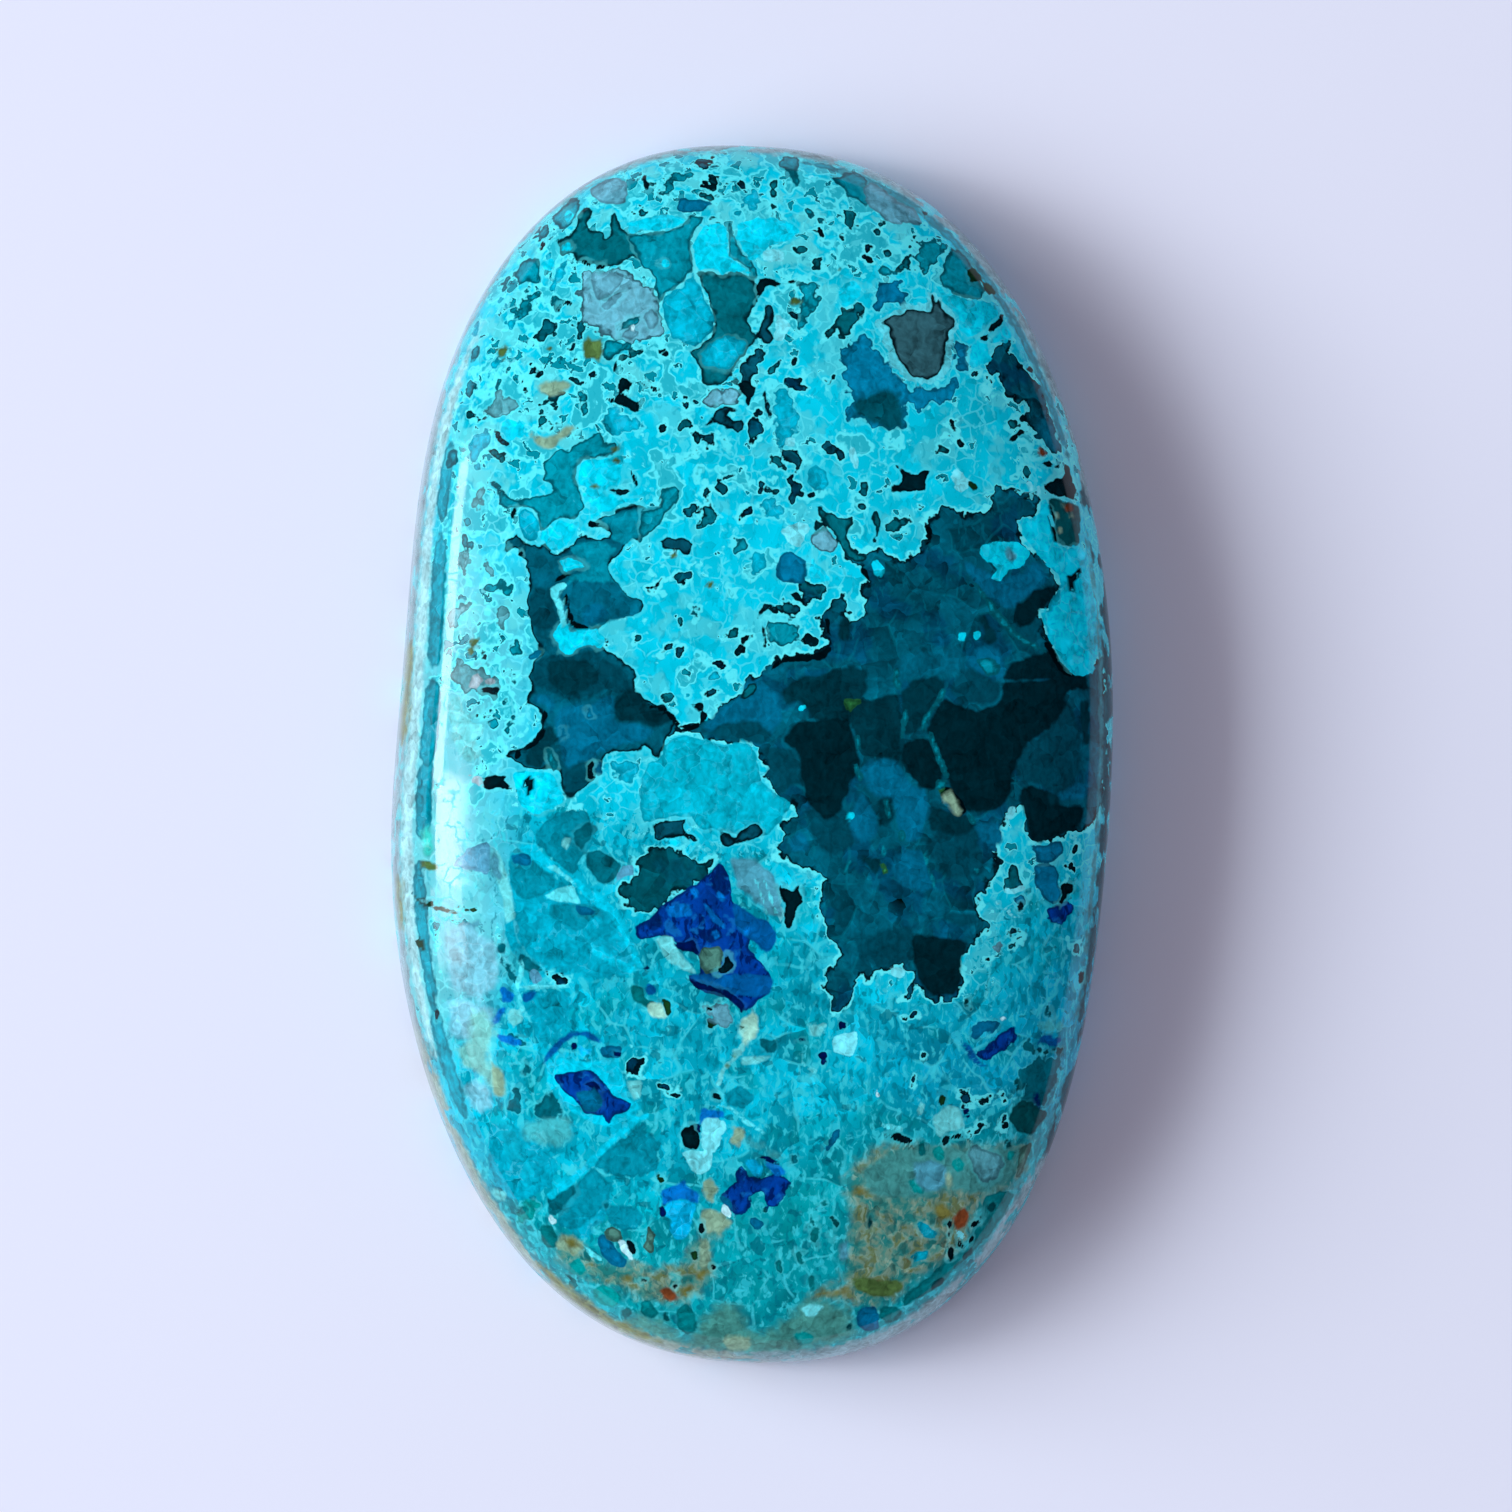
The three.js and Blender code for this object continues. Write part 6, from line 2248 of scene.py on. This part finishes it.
def paint_ground_fabric(shade, pattern):
    """The crust, and the glassy ground where the mesh says so. The swirls fray the line between
    the two."""
    ground = shade.attribute("ground")
    glassy = shade.add(ground["Alpha"], shade.multiply(pattern["swirl"], 1.6))
    crust = fabric_of_crust(shade, pattern, ground)
    glass = fabric_of_glass(shade, pattern, ground)
    return shade.over(crust, glass, glassy, none=0.47, full=0.53)


LOBE = 0.32  # size of the lobes along a patch's edge, in millimetres
LOBE_MEAN = 0.42  # of the distance to a cell's middle, so that lobes go both ways
LOBE_REACH = 5.0  # how far lobes and waves shift the edge, in pixels
WAVE = 0.34
WAVE_REACH = 10.0
UNEVEN_LINE = 0.55  # size of the stretches in which the lines along an edge look alike
LINE_STRENGTH = (0.6, 1.0)  # from the weakest to the strongest stretches
LINE_NARROWNESS = (1.6, 0.7)  # from the thinnest to the widest ones
CRISPEST = 0.5  # the softness, in pixels, of the patches whose edges wander least
SOFTEST = 8.0  # and most
FREEDOM = (0.7, 2.2)  # how much these two wander, as a factor
ZONE_FREEDOM = (1.6, 2.6)  # and in the lowest layer
FULL_RIM = 0.3  # the edge of a patch with a pale rim this strong wanders fully
RIMLESS_FREEDOM = 0.6  # and that of a patch without one by this share
RIM_LINE = (4.4, 1.8)  # pixels outside the edge between which the pale line comes up
EDGE_LINE = (-4.4, -1.2)  # and inside it for the dark line
BROKEN_UP = (0.13, 0.19)  # a patch has gaps where the drift plus its edge's strength is less
DARK_FIELD_EDGE = (0.85, 0.97)  # a patch of the lowest layer with a stronger edge is a dark field
OCHRE_SOFTNESS = (5.0, 6.0)  # and one with a softer edge is iron-stained ground


def edge_patterns(shade, place):
    """How far the patches' edges wander, in pixels, and how strong and how narrow their lines are."""
    lobes = shade.subtract(shade.cells(place, LOBE), LOBE_MEAN)
    waves = shade.subtract(shade.noise(place, WAVE), MEAN)
    uneven = shade.noise(place, UNEVEN_LINE, detail=1.0)
    return {
        "wobble": shade.add(shade.multiply(lobes, LOBE_REACH), shade.multiply(waves, WAVE_REACH)),
        "strength": shade.slope(uneven, 0.36, 0.54, *LINE_STRENGTH),
        "narrowness": shade.slope(uneven, 0.35, 0.65, *LINE_NARROWNESS),
    }


def grain_tones(shade, pattern):
    """How much lighter or darker each spot of a patch is, by its crystals, swirls and fibres."""
    broad = shade.multiply(pattern["broad faces"], 0.16)
    tones = shade.add(broad, shade.multiply(pattern["fine faces"], 0.26))
    tones = shade.add(tones, shade.multiply(pattern["swirl"], 1.2))
    return shade.add(tones, shade.slope(pattern["fibres"], 0.35, 0.65, -0.10, 0.14))


def wandering_gap(shade, wobble, freedom, distance, rim, softness):
    """The pixels to the edge of a layer's patches, where it has wandered off their outlines."""
    freedom = shade.slope(softness, CRISPEST, SOFTEST, *freedom)
    freedom = shade.multiply(freedom, shade.slope(rim, 0.0, FULL_RIM, RIMLESS_FREEDOM, 1.0))
    return shade.add(distance, shade.multiply(wobble, freedom))


def paint_patches(shade, place, pattern, surface):
    """Lays the layers of patches on the ground. The lowest has the dark fields, in which no layer
    above it draws a pale rim."""
    lines = edge_patterns(shade, place)
    grains = grain_tones(shade, pattern)
    deep = 0.0
    for layer in range(LAYERS):
        look = shade.attribute(f"layer {layer} colour")
        softness = look["Alpha"]
        form = shade.attribute(f"layer {layer} form")["Vector"]
        distance, rim, edge = shade.node("ShaderNodeSeparateXYZ", {0: form}).outputs
        freedom = FREEDOM if layer else ZONE_FREEDOM
        gap = wandering_gap(shade, lines["wobble"], freedom, distance, rim, softness)
        line_gap = shade.multiply(gap, lines["narrowness"])

        outside = shade.multiply(shade.slope(line_gap, *RIM_LINE), lines["strength"])
        pale = shade.multiply(shade.multiply(rim, outside), shade.subtract(1.0, deep))
        surface = shade.blend(pale, surface, PALE_LINE)

        inside = shade.slope(gap, softness, shade.multiply(softness, -1.0))
        inside = shade.multiply(inside, shade.slope(shade.add(pattern["drift"], edge), *BROKEN_UP))
        patch = shade.shaded(look["Color"], grains, contrast=1.0)
        if layer == 0:
            deep = shade.multiply(inside, shade.slope(edge, *DARK_FIELD_EDGE))
            patch = shade.blend(deep, patch, fabric_of_deep(shade, pattern, look["Color"]))
            ochre = fabric_of_ochre(shade, pattern)
            patch = shade.over(patch, ochre, softness, *OCHRE_SOFTNESS, share=0.9)
        dark = shade.multiply(edge, shade.slope(line_gap, *EDGE_LINE, 0.0, 0.95))
        patch = shade.blend(dark, patch, DARK_LINE)
        surface = shade.blend(inside, surface, patch)
    return surface


def streaked_azurite(shade, pattern, surface):
    """Gives the deep blue crystals navy streaks and lighter grains. They're told by how much more
    blue than green they have."""
    _, green, blue = shade.parts(surface)
    azure = shade.slope(shade.subtract(blue, shade.multiply(green, 3.0)), 0.02, 0.10)
    dark = shade.multiply(azure, shade.slope(pattern["fibres"], 0.47, 0.38, 0.0, 0.8))
    surface = shade.blend(dark, surface, NAVY_STREAK)
    light = shade.multiply(azure, shade.slope(pattern["lumps"], 0.54, 0.66, 0.0, 0.75))
    return shade.blend(light, surface, AZURITE_GRAIN)


GLOSS = 0.32
POLISH = (0.05, 0.11)  # roughness of the best and the least polished stretches
POLISH_CLOUD = 0.6  # their size, in millimetres
PIT_ROUGHNESS = 0.38  # what a pit adds
RIPPLE = 1.6  # millimetres from one ripple of the polish to the next
RIPPLE_HEIGHT = 0.02 * MM
RIPPLE_STRENGTH = 0.35


def uneven_polish(shade, place, pattern, surface):
    """The roughness. The polish doesn't reach small pits and cracks in the pale stone."""
    polish = shade.slope(shade.noise(place, POLISH_CLOUD, detail=3.0), 0.35, 0.65, *POLISH)
    pits = shade.add(shade.slope(pattern["lumps"], 0.60, 0.64), pattern["fine cracks"])
    pale = shade.slope(shade.parts(surface)[1], 0.25, 0.50)
    return shade.add(polish, shade.multiply(shade.multiply(pits, pale), PIT_ROUGHNESS))


def make_stone_material():
    """The polished stone, from its ground up through the layers of patches."""
    shade = Shading("azurite_chrysocolla")
    place = shade.place_in_mm()
    pattern = shared_patterns(shade, place)
    surface = paint_ground_fabric(shade, pattern)
    surface = paint_patches(shade, place, pattern, surface)
    surface = streaked_azurite(shade, pattern, surface)
    # painted light and shade: colours made darker on the flank by the window, lighter on the far one
    lit = shade.blend(1.0, surface, shade.attribute("painted_flank_light_and_shade")["Vector"], "MULTIPLY")
    roughness = uneven_polish(shade, place, pattern, surface)
    ripple = {"Height": shade.noise(place, RIPPLE), "Distance": RIPPLE_HEIGHT, "Strength": RIPPLE_STRENGTH}
    shade.feed(shade.shader.inputs["Base Color"], lit)
    shade.feed(shade.shader.inputs["Roughness"], roughness)
    shade.feed(shade.shader.inputs["Specular IOR Level"], GLOSS)
    shade.feed(shade.shader.inputs["Normal"], shade.node("ShaderNodeBump", ripple).outputs[0])
    return shade.material


# ---- Sheet and light ----------------------------------------------------------------------------

SHEET_SIDE = 1200 * MM
SHEET_COLOUR = (0.80, 0.83, 0.97, 1)
SHEET_ROUGHNESS = 0.9
ROOM_COLOUR = (0.83, 0.74, 0.85, 1)
ROOM_STRENGTH = 0.36
LAMP_DISTANCE = 900 * MM
DAYLIGHT = (0.97, 0.98, 1.0)


class Lamp(NamedTuple):
    """A soft rectangular lamp, turned to the stone."""
    name: str
    elevation: float  # degrees
    azimuth: float
    width: float  # metres
    height: float
    watts: float
    colour: tuple = DAYLIGHT
    in_polish: bool = True  # whether the polish mirrors it
    fades_from: float = 1.0  # share of its height above which its light fades to its upper edge


LAMPS = [
    # a low window on the left
    Lamp("window", 28.0, 180.0, 1.10, 0.30, 7.9, colour=(0.86, 0.95, 1.0), in_polish=False),
    # its sill, a thin bright line in the polish of the left shoulder
    Lamp("sill", 12.5, 166.5, 0.21, 0.17, 1.8),
    # its pane, the broad glare below that line
    Lamp("pane", 30.0, 177.0, 0.13, 0.54, 2.75, fades_from=0.45),
    # an opening beside it, the small glare at the lower left
    Lamp("opening", 21.0, 185.5, 0.12, 0.48, 1.15),
    # its curtain, a weak veil of light over all of these
    Lamp("curtain", 36.0, 180.0, 0.75, 0.55, 1.6, colour=(0.95, 0.97, 1.0), fades_from=0.0),
]


def make_sheet():
    material = bpy.data.materials.new("sheet")
    material.use_nodes = True
    shader = material.node_tree.nodes["Principled BSDF"]
    shader.inputs["Base Color"].default_value = SHEET_COLOUR
    shader.inputs["Roughness"].default_value = SHEET_ROUGHNESS
    half = SHEET_SIDE / 2
    corners = [(-half, -half, 0), (half, -half, 0), (half, half, 0), (-half, half, 0)]
    mesh = bpy.data.meshes.new("sheet")
    mesh.from_pydata(corners, [], [(0, 1, 2, 3)])
    mesh.materials.append(material)
    sheet = bpy.data.objects.new("sheet", mesh)
    bpy.context.scene.collection.objects.link(sheet)


def fade_upwards(light, start):
    """Lets a light fade from this share of its height to its upper edge, and makes the rest
    brighter, so that it gives as much light in all."""
    light.use_nodes = True
    nodes = light.node_tree.nodes
    links = light.node_tree.links
    place = nodes.new("ShaderNodeNewGeometry").outputs["Parametric"]
    split = nodes.new("ShaderNodeSeparateXYZ")
    links.new(place, split.inputs[0])
    fade = nodes.new("ShaderNodeMapRange")
    fade.interpolation_type = "SMOOTHSTEP"
    links.new(split.outputs["Y"], fade.inputs["Value"])
    fade.inputs["From Min"].default_value = start
    fade.inputs["To Min"].default_value = 2 / (1 + start)
    fade.inputs["To Max"].default_value = 0.0
    links.new(fade.outputs[0], nodes["Emission"].inputs["Strength"])


def make_lamp(lamp):
    elevation = math.radians(lamp.elevation)
    azimuth = math.radians(lamp.azimuth)
    towards = Vector((
        math.cos(elevation) * math.cos(azimuth),
        math.cos(elevation) * math.sin(azimuth),
        math.sin(elevation),
    ))
    side = Vector((0, 0, 1)).cross(towards).normalized()
    turn = Matrix((side, towards.cross(side), towards)).transposed()
    light = bpy.data.lights.new(lamp.name, "AREA")
    light.shape = "RECTANGLE"
    light.size = lamp.width
    light.size_y = lamp.height
    light.energy = lamp.watts
    light.color = lamp.colour
    if lamp.fades_from < 1:
        fade_upwards(light, lamp.fades_from)
    panel = bpy.data.objects.new(lamp.name, light)
    panel.visible_glossy = lamp.in_polish
    panel.matrix_world = Matrix.Translation(towards * LAMP_DISTANCE) @ turn.to_4x4()
    bpy.context.scene.collection.objects.link(panel)


def make_light():
    for lamp in LAMPS:
        make_lamp(lamp)
    world = bpy.data.worlds.new("room")
    world.use_nodes = True
    background = world.node_tree.nodes["Background"]
    background.inputs["Color"].default_value = ROOM_COLOUR
    background.inputs["Strength"].default_value = ROOM_STRENGTH
    world.cycles_visibility.glossy = False
    bpy.context.scene.world = world
    bpy.context.scene.view_settings.view_transform = "Standard"


stone = make_stone()
stone.data.materials.append(make_stone_material())
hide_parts("stone")
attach(stone, "root")
make_sheet()
make_light()
make_camera()
